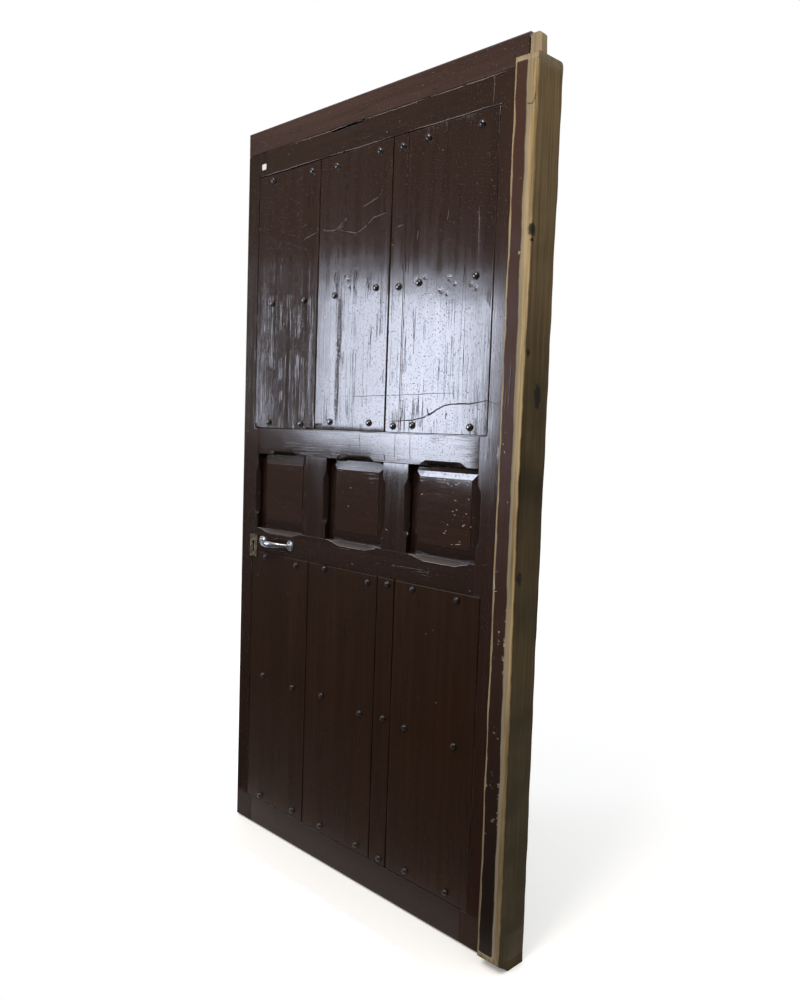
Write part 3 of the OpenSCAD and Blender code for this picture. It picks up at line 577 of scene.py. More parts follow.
def merged_copy(node: bpy.types.Object) -> bmesh.types.BMesh:
    """Copies a CAD node's mesh and joins its loose triangles into whole faces.

    Args:
        node: CAD node, which stays as it is.

    Returns:
        A new bmesh.
    """
    bm = bmesh.new()
    bm.from_mesh(node.data)
    bmesh.ops.remove_doubles(bm, verts=bm.verts, dist=SAME_PLACE)
    bmesh.ops.dissolve_limit(
        bm, angle_limit=SAME_FACE, use_dissolve_boundaries=False, verts=bm.verts, edges=bm.edges
    )
    return bm


def cross_cut(bm: bmesh.types.BMesh, axis: Vector, spacing: float) -> None:
    """Cuts a mesh across an axis at even steps, so that its edges can wander.

    Args:
        bm: mesh to cut.
        axis: unit vector along which the cuts follow each other.
        spacing: distance between cuts, in metres.
    """
    reach = [v.co.dot(axis) for v in bm.verts]
    steps = int((max(reach) - min(reach)) / spacing)
    for i in range(1, steps + 1):
        geometry = bm.verts[:] + bm.edges[:] + bm.faces[:]
        at = min(reach) + (i - 0.5) * spacing
        bmesh.ops.bisect_plane(bm, geom=geometry, dist=CUT_REACH, plane_co=axis * at, plane_no=axis)


def face_front(bm: bmesh.types.BMesh) -> None:
    """Turns the faces of a flat piece to the front.

    Args:
        bm: mesh of the piece.
    """
    bm.normal_update()
    turned = [face for face in bm.faces if face.normal.y > 0.0]
    bmesh.ops.reverse_faces(bm, faces=turned)


def make_piece(
    bm: bmesh.types.BMesh,
    name: str,
    material: bpy.types.Material,
    body: Body,
    smooth_angle: float = 20.0,
) -> bpy.types.Object:
    """Turns a bmesh into a finished piece that rides on a body.

    Args:
        bm: mesh, which is freed.
        name: name of the piece.
        material: its material.
        body: body it moves with.
        smooth_angle: edges sharper than this many degrees stay sharp.

    Returns:
        The new object.
    """
    for face in bm.faces:
        face.material_index = 0
    mesh = bpy.data.meshes.new(name)
    bm.to_mesh(mesh)
    bm.free()
    mesh.materials.append(material)
    mesh.shade_smooth()
    mesh.set_sharp_from_angle(angle=math.radians(smooth_angle))
    piece = bpy.data.objects.new(name, mesh)
    bpy.context.scene.collection.objects.link(piece)
    normals = piece.modifiers.new("flat_faces", "WEIGHTED_NORMAL")
    normals.keep_sharp = True
    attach(piece, body.value)
    log.info("%s: %d faces on %s", name, len(mesh.polygons), body.value)
    return piece


def dress_node(node: bpy.types.Object, material: bpy.types.Material) -> None:
    """Gives a CAD node that is shown as it is its material.

    Args:
        node: CAD node.
        material: its material.
    """
    node.data.materials.clear()
    node.data.materials.append(material)
    log.info("%s: CAD node in %s", node.name, material.name)


@dataclass
class WornTimber:
    """A hand-worked timber: its arrises are rounded by wear and wander a little.

    Fields are in millimetres, and the least turn of an arris is in degrees.
    """

    arris: float = 1.6
    wander: float = 0.7
    wander_length: float = 38.0
    spacing: float = 45.0
    shortest: float = 5.0
    least_turn: float = 25.0
    on_face: float = 0.05

    def copy_of(self, node: bpy.types.Object, along: Vector) -> bmesh.types.BMesh:
        """Copies a CAD timber with worn arrises on its faces.

        Args:
            node: CAD node of the timber.
            along: direction of its length.

        Returns:
            The worn mesh.
        """
        bm = merged_copy(node)
        front = min(v.co.y for v in bm.verts)
        back = max(v.co.y for v in bm.verts)
        arrises = [
            e
            for e in bm.edges
            if e.is_manifold
            and e.calc_length() > self.shortest * MM
            and e.calc_face_angle_signed() > math.radians(self.least_turn)
            and any(all(abs(v.co.y - y) < self.on_face * MM for v in e.verts) for y in (front, back))
        ]
        worn = bm.faces.layers.int.new("worn")
        rubbed = bm.verts.layers.float.new("rubbed")
        rounded = bmesh.ops.bevel(
            bm,
            geom=arrises,
            offset=self.arris * MM,
            offset_type="OFFSET",
            affect="EDGES",
            segments=2,
            profile=0.5,
            material=-1,
            clamp_overlap=False,
        )
        for face in rounded["faces"]:
            face[worn] = 1
        for vert in bm.verts:
            vert[rubbed] = float(all(face[worn] for face in vert.link_faces))
        cross_cut(bm, along, self.spacing * MM)
        bm.normal_update()
        for vert in bm.verts:
            if any(face[worn] for face in vert.link_faces):
                hollow = noise.noise(vert.co / (self.wander_length * MM))
                shift = vert.normal * max(0.0, hollow) * self.wander * MM
                if min(abs(vert.co.y - front), abs(vert.co.y - back)) < self.on_face * MM:
                    shift.y = 0.0
                vert.co -= shift
        return bm


@dataclass
class LeafFrame:
    """Stiles, rails, muntins and ledges of the leaf.

    Painted shade darkens the paint between two depths of the recess, in millimetres, to a share of its
    colour.
    """

    timber: WornTimber = field(default_factory=lambda: WornTimber(arris=1.0, wander=0.6))
    upright: tuple[str, ...] = ("lock_stile", "hanging_stile", "left_muntin", "right_muntin")
    rails: tuple[str, ...] = ("bottom_rail", "lock_rail", "upper_rail", "top_rail")
    ledges: tuple[str, ...] = ("upper_ledge", "lower_ledge")
    recess: Pair = (1.5, 9.0)
    recess_share: float = 0.4

    def build(self, nodes: Nodes) -> None:
        """Builds and dresses the frame's timbers.

        Args:
            nodes: CAD nodes by name.
        """
        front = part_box("lock_stile")[0].y / MM
        start, end = self.recess
        paint = GlossPaint(
            "brown_gloss_on_stiles",
            Grain.UPRIGHT,
            coat="#2e1d15",
            shade="#1f140d",
            furrow_depth=0.03,
            grain_depth=0.02,
            swell_depth=0.15,
            # Painted shade in the reveals behind the front face
            recess_shade=(front + start, front + end, self.recess_share),
            dull_below=(450.0, 880.0, 0.12),
        )
        lying = replace(
            paint, name="brown_gloss_on_rails", grain=Grain.LYING, furrow_depth=0.05, grain_depth=0.04
        )
        low_rail = replace(
            lying,
            name="dull_brown_on_bottom_rail",
            coat="#2d1c13",
            shade="#1e130c",
            roughness=0.36,
            specular=0.16,
            wear=0.05,
            dust_share=0.0,
            dull_below=(0.0, 1.0, 1.0),
        )
        # Painted light: a lighter copy of the stile paint stands for the extra light that falls on the
        # hanging stile
        hanging = replace(paint, name="brown_gloss_on_hanging_stile", coat="#33211a", shade="#241610")
        special = {"bottom_rail": low_rail.material(), "hanging_stile": hanging.material()}
        groups = (
            (self.upright, paint.material(), UPWARD),
            (self.rails + self.ledges, lying.material(), ACROSS),
        )
        for names, usual, along in groups:
            for name in names:
                bm = self.timber.copy_of(nodes[name], along)
                coat = special.get(name, usual)
                piece = make_piece(bm, "worn_" + name, coat, Body.LEAF)
                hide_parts(name)


@dataclass
class FieldedPanels:
    """Three raised and fielded panels.

    Sinks say how much deeper a panel's top and right bevels lie at their outer edge, in millimetres.
    The belly is how far the rounded panel's top bevel stands out at its left and right end, and each of its
    cuts has a share of the bevel's height and a share of the belly. Edges that turn by more than the mitre
    angle stay sharp. Painted shade darkens the paint between two depths of the recess to a share of its
    colour.
    """

    timber: WornTimber = field(default_factory=lambda: WornTimber(arris=0.7, wander=0.4, spacing=30.0))
    sinks: tuple[tuple[str, float, float], ...] = (
        ("left_panel", 0.0, -3.0),
        ("middle_panel", 1.9, 0.0),
        ("right_panel", 1.5, 0.0),
    )
    mitre_angle: float = 8.0
    rounded: str = "right_panel"
    belly: Pair = (0.0, 0.9)
    round_cuts: tuple[Pair, ...] = ((0.93, 0.0), (0.5, 1.0))
    least_slope: float = 0.08
    least_front: float = 0.9
    recess: Pair = (0.4, 3.5)
    recess_share: float = 0.55

    def slopes(self, bm: bmesh.types.BMesh, way: Vector) -> list[bmesh.types.BMFace]:
        """Finds the bevel on one side of a panel.

        Args:
            bm: mesh of the panel.
            way: side of the panel that the bevel lies on.

        Returns:
            The faces of the bevel.
        """
        bm.normal_update()
        front = [face for face in bm.faces if face.normal.y < -self.least_front]
        return [face for face in front if face.normal.dot(way) > self.least_slope]

    def sink(self, bm: bmesh.types.BMesh, way: Vector, depth: float) -> None:
        """Lets a hand-planed bevel run a little deeper or shallower into its groove.

        Args:
            bm: mesh of the panel.
            way: side of the panel that the bevel lies on.
            depth: how much deeper its outer edge lies, in millimetres.
        """
        corners = {v for face in self.slopes(bm, way) for v in face.verts}
        inner = min(v.co.dot(way) for v in corners)
        outer = max(v.co.dot(way) for v in corners)
        for v in corners:
            v.co.y += depth * MM * (v.co.dot(way) - inner) / (outer - inner)

    def round_over(self, bm: bmesh.types.BMesh) -> None:
        """Rounds the top bevel over, flatter beside the field and steeper towards the groove.

        Args:
            bm: mesh of the panel.
        """
        corners = {v for face in self.slopes(bm, UPWARD) for v in face.verts}
        low = min(v.co.z for v in corners)
        high = max(v.co.z for v in corners)
        left = min(v.co.x for v in corners)
        right = max(v.co.x for v in corners)
        for height, share in self.round_cuts:
            faces = self.slopes(bm, UPWARD)
            edges = {edge for face in faces for edge in face.edges}
            corners = {v for face in faces for v in face.verts}
            geometry = list(corners) + list(edges) + faces
            at = UPWARD * (low + height * (high - low))
            cut = bmesh.ops.bisect_plane(bm, geom=geometry, dist=CUT_REACH, plane_co=at, plane_no=UPWARD)
            for part in cut["geom_cut"]:
                if isinstance(part, bmesh.types.BMVert):
                    along = (part.co.x - left) / (right - left)
                    belly = self.belly[0] + (self.belly[1] - self.belly[0]) * along
                    part.co.y -= belly * share * MM

    def build(self, nodes: Nodes) -> None:
        """Builds and dresses the panels.

        Args:
            nodes: CAD nodes by name.
        """
        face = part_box("left_panel")[0].y / MM
        start, end = self.recess
        paint = GlossPaint(
            "brown_gloss_on_panels",
            Grain.LYING,
            coat="#36241b",
            shade="#281a13",
            roughness=0.07,
            sheen_spread=0.01,
            furrow_depth=0.02,
            grain_depth=0.016,
            swell_depth=0.12,
            pit_level=0.68,
            # Painted shade where the panel runs into its groove
            recess_shade=(face + start, face + end, self.recess_share),
        )
        streaked = replace(
            paint, name="brown_gloss_streaked", furrow_depth=0.014, grain_depth=0.012, pit_level=0.66
        )
        usual = paint.material()
        special = {"right_panel": streaked.material()}
        for name, top, right in self.sinks:
            bm = self.timber.copy_of(nodes[name], ACROSS)
            self.sink(bm, ACROSS, right)
            self.sink(bm, UPWARD, top)
            if name == self.rounded:
                self.round_over(bm)
            coat = special.get(name, usual)
            piece = make_piece(bm, "worn_" + name, coat, Body.LEAF, self.mitre_angle)
            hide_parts(name)


@dataclass
class BoardFields:
    """Flush tongued boards above and below the panels.

    Knocks have a place across and up from the leaf's lower lock corner, a radius and a depth, and valleys
    also how many times longer they are upward. The bridge is paint that fills a joint. Lengths are in
    millimetres, and the hollow is deepest at a share of its board's width.
    """

    timber: WornTimber = field(default_factory=lambda: WornTimber(arris=1.8, wander=1.2, spacing=35.0))
    places: tuple[str, ...] = ("left", "middle", "narrow", "right")
    hollow_board: str = "upper_left_board"
    hollow_depth: float = 1.8
    hollow_at: float = 0.4
    hollow_spacing: float = 24.0
    knocks: tuple[tuple[float, ...], ...] = (
        (427.0, 1562.0, 8.0, 0.25),
        (439.0, 1550.0, 9.0, 0.25),
        (446.0, 1532.0, 7.0, 0.2),
        (683.0, 1521.0, 12.0, 0.3),
        (708.0, 1528.0, 8.0, 0.2),
        (760.0, 1493.0, 12.0, 0.3),
        (778.0, 1486.0, 8.0, 0.2),
        (786.0, 1519.0, 10.0, 0.25),
        (802.0, 1505.0, 7.0, 0.2),
        (850.0, 1500.0, 8.0, 0.25),
        (864.0, 1490.0, 9.0, 0.25),
    )
    valleys: tuple[tuple[float, ...], ...] = (
        (411.0, 1420.0, 12.0, 0.75, 10.0),
        (407.0, 1270.0, 11.0, 0.65, 10.0),
        (298.0, 1330.0, 10.0, 0.8, 12.0),
    )
    bridged_joint: float = 640.0
    bridge_section: Pair = (2.8, 2.0)
    bridge_drop: float = 0.4
    bridge_short: float = 2.0

    def cup(self, bm: bmesh.types.BMesh) -> None:
        """Hollows the front of a board that has shrunk across its width.

        Args:
            bm: mesh of the board.
        """
        cross_cut(bm, ACROSS, self.hollow_spacing * MM)
        low = min(v.co.x for v in bm.verts)
        width = max(v.co.x for v in bm.verts) - low
        middle = 0.5 * (min(v.co.y for v in bm.verts) + max(v.co.y for v in bm.verts))
        for vert in bm.verts:
            share = (vert.co.x - low) / width - self.hollow_at
            reach = 1.0 - self.hollow_at if share > 0.0 else self.hollow_at
            if vert.co.y < middle:
                vert.co.y += self.hollow_depth * MM * (1.0 - (share / reach) ** 2)

    def bridge(self, paint: bpy.types.Material) -> None:
        """Fills the joint beside the narrow upper board with old paint.

        Args:
            paint: material of the boards.
        """
        low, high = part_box("upper_narrow_board")
        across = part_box("lock_stile")[0].x + self.bridged_joint * MM
        width, depth = (length * MM for length in self.bridge_section)
        height = high.z - low.z - self.bridge_short * MM
        middle = Vector((across, low.y + self.bridge_drop * MM + 0.5 * depth, 0.5 * (low.z + high.z)))
        bm = bmesh.new()
        bmesh.ops.create_cube(bm, size=1.0)
        bmesh.ops.scale(bm, vec=(width, depth, height), verts=bm.verts)
        bmesh.ops.translate(bm, vec=middle, verts=bm.verts)
        make_piece(bm, "paint_in_upper_joint", paint, Body.LEAF)

    def build(self, nodes: Nodes) -> None:
        """Builds and dresses both fields of boards.

        Args:
            nodes: CAD nodes by name.
        """
        corner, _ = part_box("lock_stile")
        dents = tuple(
            Dent(tuple((corner + Vector((across, 0.0, up)) * MM) / MM), *shape)
            for across, up, *shape in self.knocks + self.valleys
        )
        upper = GlossPaint("brown_gloss_on_upper_boards", Grain.UPRIGHT, dents=dents, pit_level=0.65)
        lower = GlossPaint(
            "brown_paint_on_lower_boards",
            Grain.UPRIGHT,
            coat="#332015",
            shade="#21150d",
            roughness=0.36,
            specular=0.05,
            swell_depth=0.25,
            furrow_depth=0.12,
            grain_depth=0.06,
            wear=0.2,
            dull_below=(60.0, 450.0, 3.5),
        )
        calm = replace(
            upper,
            name="brown_gloss_on_left_board",
            roughness=0.08,
            furrow_depth=0.08,
            swell_depth=0.24,
            pit_level=0.68,
        ).material()
        paints = {"upper": upper.material(), "lower": lower.material()}
        for level, paint in paints.items():
            for place in self.places:
                name = f"{level}_{place}_board"
                bm = self.timber.copy_of(nodes[name], UPWARD)
                coat = paint
                if name == self.hollow_board:
                    self.cup(bm)
                    coat = calm
                piece = make_piece(bm, "worn_" + name, coat, Body.LEAF)
                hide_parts(name)
        self.bridge(paints["upper"])


@dataclass
class StudRows:
    """Domed iron studs, painted with the boards.

    Dents have a depth and a length in millimetres, and the flatness is the power that flattens a dome.
    """

    dent: float = 0.35
    dent_length: float = 9.0
    flatness: float = 1.7
    smooth_angle: float = 50.0

    def build(self, nodes: Nodes) -> None:
        """Builds and dresses the studs.

        Args:
            nodes: CAD nodes by name.
        """
        iron = WornMetal(
            "painted_forged_iron",
            bright="#1f1511",
            dull="#150e0b",
            metallic=0.0,
            roughness=0.08,
            relief=0.08,
            relief_width=5.0,
            specular=1.0,
        )
        worn = replace(iron, name="painted_iron_scuffed_dull", roughness=0.28, specular=0.5)
        face_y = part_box("lock_stile")[0].y
        for name, finish in (("upper_studs", iron), ("lower_studs", worn)):
            bm = merged_copy(nodes[name])
            rise = face_y - min(v.co.y for v in bm.verts)
            bm.normal_update()
            for vert in bm.verts:
                hollow = noise.noise(vert.co / (self.dent_length * MM))
                vert.co -= vert.normal * max(0.0, hollow) * self.dent * MM
                share = (face_y - vert.co.y) / rise
                if share > 0.0:
                    vert.co.y = face_y - rise * (1.0 - (1.0 - share) ** self.flatness)
            coat = finish.material()
            piece = make_piece(bm, "forged_" + name, coat, Body.LEAF, self.smooth_angle)
            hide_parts(name)


@dataclass
class TopStrip:
    """Strip nailed on top of the leaf."""

    timber: WornTimber = field(default_factory=lambda: WornTimber(arris=1.5, wander=1.2))

    def build(self, nodes: Nodes) -> None:
        """Builds and dresses the strip.

        Args:
            nodes: CAD nodes by name.
        """
        paint = GlossPaint(
            "brown_gloss_on_strip",
            Grain.LYING,
            coat="#483530",
            shade="#30211b",
            dust_share=0.2,
            furrow_depth=0.04,
        ).material()
        bm = self.timber.copy_of(nodes["top_strip"], ACROSS)
        piece = make_piece(bm, "worn_top_strip", paint, Body.LEAF)
        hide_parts("top_strip")


@dataclass
class PullHandle:
    """Cast and chromed pull handle, remade from voxels of so many millimetres and softened in rounds."""

    voxel: float = 0.9
    rounds: int = 10
    smooth_angle: float = 60.0

    def build(self, nodes: Nodes) -> None:
        """Builds and dresses the handle.

        Args:
            nodes: CAD nodes by name.
        """
        chrome = WornMetal(
            "chromed_casting",
            bright="#b9bcc2",
            dull="#858588",
            metallic=1.0,
            roughness=0.20,
            patch_low=0.42,
            patch_high=0.62,
            relief=0.02,
            relief_width=6.0,
        ).material()
        blank = bpy.data.objects.new("handle_blank", nodes["pull_handle"].data.copy())
        bpy.context.scene.collection.objects.link(blank)
        weld = blank.modifiers.new("weld", "WELD")
        weld.merge_threshold = SAME_PLACE
        cast = blank.modifiers.new("cast", "REMESH")
        cast.mode = "VOXEL"
        cast.voxel_size = self.voxel * MM
        soften = blank.modifiers.new("soften", "SMOOTH")
        soften.iterations = self.rounds
        bm = bmesh.new()
        bm.from_object(blank, bpy.context.evaluated_depsgraph_get())
        bpy.data.objects.remove(blank)
        piece = make_piece(bm, "cast_pull_handle", chrome, Body.LEAF, self.smooth_angle)
        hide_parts("pull_handle")


@dataclass
class KeyholeLock:
    """Keyhole plate with its pins, the mortice lock behind it, and the leaf's small steel."""

    timber: WornTimber = field(default_factory=lambda: WornTimber(arris=0.8, wander=0.3, spacing=8.0))
    lock_nodes: tuple[str, ...] = ("lock_case", "lock_cover", "dead_bolt", "bolt_spring")
    small_nodes: tuple[str, ...] = ("forend_screws", "handle_screws", "strip_nails")

    def build(self, nodes: Nodes, steel: bpy.types.Material) -> None:
        """Builds and dresses the plate and the lock.

        Args:
            nodes: CAD nodes by name.
            steel: material of the lock, the screws and the nails.
        """
        plate = WornMetal(
            "worn_plate_brass",
            bright="#766a4d",
            dull="#332a1b",
            metallic=0.6,
            roughness=0.4,
            patch_width=9.0,
            patch_low=0.38,
            patch_high=0.58,
            relief=0.15,
        ).material()
        bm = self.timber.copy_of(nodes["keyhole_plate"], UPWARD)
        piece = make_piece(bm, "worn_keyhole_plate", plate, Body.LEAF)
        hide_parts("keyhole_plate")
        dress_node(nodes["plate_pins"], plate)
        for name in self.lock_nodes + self.small_nodes:
            dress_node(nodes[name], steel)


@dataclass
class HingeSet:
    """Three hinges on the hanging stile."""

    levels: tuple[str, ...] = ("upper", "middle", "lower")
    kinds: tuple[str, ...] = ("hinge_leaf_plate", "hinge_jamb_plate", "hinge_pin")
    screws: tuple[str, ...] = ("leaf_hinge_screws", "jamb_hinge_screws")

    def build(self, nodes: Nodes, steel: bpy.types.Material) -> None:
        """Dresses the hinges and their screws.

        Args:
            nodes: CAD nodes by name.
            steel: material of the hinges.
        """
        for level in self.levels:
            for kind in self.kinds:
                dress_node(nodes[f"{level}_{kind}"], steel)
        for name in self.screws:
            dress_node(nodes[name], steel)


@dataclass(frozen=True)
class Knot:
    """A knot in the jamb: its place in the frame, radius, flatness and how dark it is."""

    place_mm: Triple
    radius_mm: float
    flatness: float = 0.7
    depth: float = 0.9


@dataclass
class JambPost:
    """Bare rebated post with a strip of the door's paint on its front.

    Lengths are in millimetres, and the box of the CAD node gives the last five. Knot places are measured
    inward from the side, back from the front and up, with a radius and a flatness. The foot swells below a
    height, over a length.
    """

    strip_mm: float = 32.0
    corner_mm: float = 9.0
    corner_reach: float = 1.5
    on_face: float = 0.1
    end_reach: float = 1.0
    foot_swell: float = 6.0
    swell_from: float = 900.0
    swell_over: float = 800.0
    wander: float = 1.6
    wander_level: float = 0.5
    wander_length: float = 55.0
    spacing: float = 16.0
    tenon_h: float = 54.0
    smooth_angle: float = 35.0
    knot_places: tuple[tuple[float, ...], ...] = (
        (1.0, 4.0, 1594.0, 11.0, 0.7),
        (2.0, 5.0, 1573.0, 5.0, 1.0),
        (0.0, 47.0, 1260.0, 13.0, 0.4),
        (0.0, 8.0, 1347.0, 7.0, 0.7),
        (0.0, 13.0, 876.0, 11.0, 0.6),
    )
    knots: tuple[Knot, ...] = ()
    left_mm: float = 0.0
    side_mm: float = 0.0
    front_mm: float = 0.0
    top_mm: float = 0.0
    shoulder_mm: float = 0.0

    def measure(self) -> None:
        """Takes the post's faces from its CAD node, and its knots from them."""
        low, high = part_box("jamb_post")
        self.left_mm = low.x / MM
        self.side_mm = high.x / MM
        self.front_mm = low.y / MM
        self.top_mm = high.z / MM
        self.shoulder_mm = self.top_mm - self.tenon_h
        self.knots = tuple(
            Knot((self.side_mm - inward, self.front_mm + back, height), radius, flatness)
            for inward, back, height, radius, flatness in self.knot_places
        )

    def round_shoulder(self, bm: bmesh.types.BMesh, back: float) -> None:
        """Rounds the left and back edges of the shoulder under the tenon.

        Args:
            bm: mesh of the post.
            back: place of the post's back, in metres.
        """
        near = self.on_face * MM
        corners = [
            e
            for e in bm.edges
            if all(abs(v.co.z - self.shoulder_mm * MM) < self.corner_reach * MM for v in e.verts)
            and (
                all(abs(v.co.x - self.left_mm * MM) < near for v in e.verts)
                or all(abs(v.co.y - back) < near for v in e.verts)
            )
        ]
        bmesh.ops.bevel(
            bm,
            geom=corners,
            offset=self.corner_mm * MM,
            offset_type="OFFSET",
            affect="EDGES",
            segments=4,
            profile=0.5,
            material=-1,
        )

    def build(self, nodes: Nodes) -> None:
        """Builds and dresses the post.

        Args:
            nodes: CAD nodes by name.
        """
        self.measure()
        bm = merged_copy(nodes["jamb_post"])
        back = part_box("jamb_post")[1].y
        self.round_shoulder(bm, back)
        cross_cut(bm, UPWARD, self.spacing * MM)
        bm.normal_update()
        for vert in bm.verts:
            hollow = self.wander_level + noise.noise(vert.co / (self.wander_length * MM))
            if self.end_reach * MM < vert.co.z < (self.top_mm - self.end_reach) * MM:
                vert.co -= vert.normal * max(0.0, hollow) * self.wander * MM
        for vert in bm.verts:
            low = min(1.0, max(0.0, (self.swell_from * MM - vert.co.z) / (self.swell_over * MM)))
            deep = (vert.co.y - self.front_mm * MM) / (back - self.front_mm * MM)
            vert.co.y += self.foot_swell * MM * deep * low * low * (3.0 - 2.0 * low)
        pine = AgedPine().material(self)
        piece = make_piece(bm, "worn_jamb_post", pine, Body.JAMB, self.smooth_angle)
        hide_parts("jamb_post")


class MarkKind(Enum):
    """Kinds of mark on the leaf and the jamb, with their width in millimetres."""

    CRACK = 3.0
    SCRIBE = 1.3
    SCRATCH = 1.4
    # Pale specks; on the right panel they are painted highlights standing for glints
    SPECK = 1.7


# Marks with their paths, in millimetres across and up from the leaf's lower lock corner
MarkPath = tuple[str, MarkKind, tuple[Pair, ...]]
LONG_CRACK: tuple[Pair, ...] = (
    (605, 1194), (640, 1196), (679, 1198), (723, 1206), (749, 1218),
    (780, 1232), (804, 1237), (857, 1237), (909, 1245), (936, 1235),
)
LONG_SCRATCH: tuple[Pair, ...] = (
    (400, 1678), (468, 1661), (503, 1675), (528, 1690), (556, 1694), (588, 1699),
)
LEAF_MARKS: tuple[MarkPath, ...] = (
    ("long_crack", MarkKind.CRACK, LONG_CRACK),
    ("crack_curl", MarkKind.CRACK, ((755, 1219), (737, 1211), (733, 1218), (730, 1228))),
    ("crack_dash", MarkKind.CRACK, ((790, 1219), (790, 1203))),
    ("rail_line_1", MarkKind.SCRIBE, ((500, 1164), (501, 1107))),
    ("rail_line_2", MarkKind.SCRIBE, ((627, 1164), (629, 1101))),
    ("rail_line_3", MarkKind.SCRIBE, ((678, 1164), (680, 1099))),
    ("rail_knot", MarkKind.CRACK, ((590, 1117), (592, 1110), (593, 1098))),
    ("scribed_line", MarkKind.SCRIBE, ((441, 1254), (560, 1257), (640, 1258), (821, 1262))),
    ("scratch_1", MarkKind.SCRATCH, ((258, 1674), (312, 1684))),
    ("scratch_3", MarkKind.SCRATCH, ((340, 1684), (383, 1680), (430, 1703))),
    ("scratch_4", MarkKind.SCRATCH, ((385, 1680), (418, 1688))),
    ("scratch_5", MarkKind.SCRATCH, LONG_SCRATCH),
    ("scratch_7", MarkKind.SCRATCH, ((486, 1722), (545, 1738))),
    ("scratch_8", MarkKind.SCRATCH, ((612, 1655), (632, 1660))),
    ("scratch_9", MarkKind.SCRATCH, ((683, 1640), (679, 1618))),
    ("scratch_10", MarkKind.SCRATCH, ((863, 1664), (866, 1620), (868, 1561))),
    ("scratch_11", MarkKind.SCRATCH, ((776, 1676), (772, 1650))),
    ("dust_line_1", MarkKind.SCRATCH, ((205, 1934), (330, 1933), (420, 1934))),
    ("dust_line_2", MarkKind.SCRATCH, ((480, 1934), (620, 1933), (690, 1934))),
    ("dust_line_3", MarkKind.SCRATCH, ((700, 1934), (830, 1933), (930, 1934))),
    ("dust_line_4", MarkKind.SCRATCH, ((60, 1872), (180, 1871), (330, 1872))),
    ("dust_line_5", MarkKind.SCRATCH, ((350, 1872), (460, 1871), (585, 1872))),
    ("dust_line_6", MarkKind.SCRATCH, ((640, 1872), (760, 1871), (905, 1872))),
    ("speck_1", MarkKind.SPECK, ((604, 930), (612, 928))),
    ("speck_2", MarkKind.SPECK, ((679, 932), (683, 924))),
)
JAMB_MARKS: tuple[MarkPath, ...] = (
    ("jamb_crack_1", MarkKind.SCRIBE, ((1005, 1842), (1013, 1838), (1022, 1839))),
    ("jamb_crack_2", MarkKind.SCRIBE, ((1022, 1839), (1024, 1848), (1025, 1857))),
    ("jamb_scratch_1", MarkKind.SCRATCH, ((994, 1327), (994, 1275), (990, 1218))),
    ("jamb_scratch_2", MarkKind.SCRATCH, ((984, 1262), (982, 1223))),
    ("jamb_scratch_3", MarkKind.SCRATCH, ((985, 884), (973, 875))),
    ("jamb_scratch_4", MarkKind.SPECK, ((974, 868), (976, 852), (978, 841))),
    ("jamb_scratch_5", MarkKind.SPECK, ((976, 838), (983, 838))),
    ("jamb_scratch_6", MarkKind.SPECK, ((972, 1414), (977, 1412))),
    ("jamb_scratch_7", MarkKind.SPECK, ((980, 1153), (985, 1150))),
    ("jamb_scratch_8", MarkKind.SPECK, ((986, 1138), (989, 1133))),
)
# Both ends of each glint on the panels, across and up: painted highlights, pale specks that stand for light
# glinting off drips of paint
GLINTS: tuple[tuple[float, ...], ...] = (
    (779.0, 1063.5, 784.0, 1062.5), (790.7, 1055.1, 797.3, 1052.9), (813.6, 1055.5, 822.4, 1054.5),
    (853.0, 1063.5, 858.0, 1062.5), (710.8, 1025.5, 715.2, 1024.5), (813.9, 1018.3, 821.1, 1016.7),
    (854.8, 1024.9, 859.2, 1022.1), (808.0, 992.5, 813.0, 991.5), (814.0, 985.3, 819.0, 983.7),
    (848.2, 990.3, 853.8, 988.7), (793.8, 961.3, 798.2, 959.7), (841.4, 961.6, 849.6, 965.4),
    (783.7, 940.3, 790.3, 938.7), (821.2, 916.9, 838.8, 919.1), (456.6, 1022.1, 460.4, 1019.9),
    (448.2, 974.1, 453.8, 971.9), (789.4, 1055.8, 793.8, 1056.8), (802.0, 1049.7, 806.4, 1050.7),
    (849.8, 1055.3, 854.2, 1056.3), (822.8, 1058.0, 827.2, 1059.0), (708.6, 1023.0, 713.0, 1024.0),
    (814.6, 984.0, 819.0, 985.0), (820.1, 996.0, 824.5, 997.0), (840.0, 960.1, 844.4, 961.1),
    (863.7, 961.4, 868.1, 962.4), (789.0, 944.3, 793.4, 945.3), (809.1, 915.2, 813.5, 916.2),
    (832.9, 923.8, 837.3, 924.8),
)
PANEL_MARKS: tuple[MarkPath, ...] = tuple(
    (f"glint_{i}", MarkKind.SPECK, (ends[:2], ends[2:])) for i, ends in enumerate(GLINTS, 1)
)
# Middles of the pale flecks on the leaf, across and up: chipped paint, and beside the dents painted
# highlights on their rims
FLECKS: tuple[Pair, ...] = (
    (617, 1658), (529, 1692), (849, 1502), (823, 1503), (423, 1563), (846, 1492), (861, 1493),
    (777, 1525), (432, 1540), (353, 1462), (667, 1524), (257, 1461), (392, 1576), (283, 1462),
    (846, 1448), (404, 1471), (773, 1654), (383, 1516), (870, 1590), (750, 1807), (460, 1507),
    (550, 1694), (446, 1566), (877, 1450), (696, 1526), (414, 1684), (239, 1475), (178, 1455),
    (474, 1526), (443, 1551), (779, 1646), (700, 1512), (599, 1616), (425, 1702), (424, 1470),
    (371, 1682), (339, 1687), (729, 1487), (775, 710), (735, 538), (793, 541), (225, 709), (753, 697),
    (82, 742), (487, 828), (18, 1157), (68, 857), (882, 820), (542, 1932), (593, 1932), (661, 1931),
    (253, 1932), (217, 1931), (503, 1931), (608, 1902), (565, 1886), (183, 1910),
)


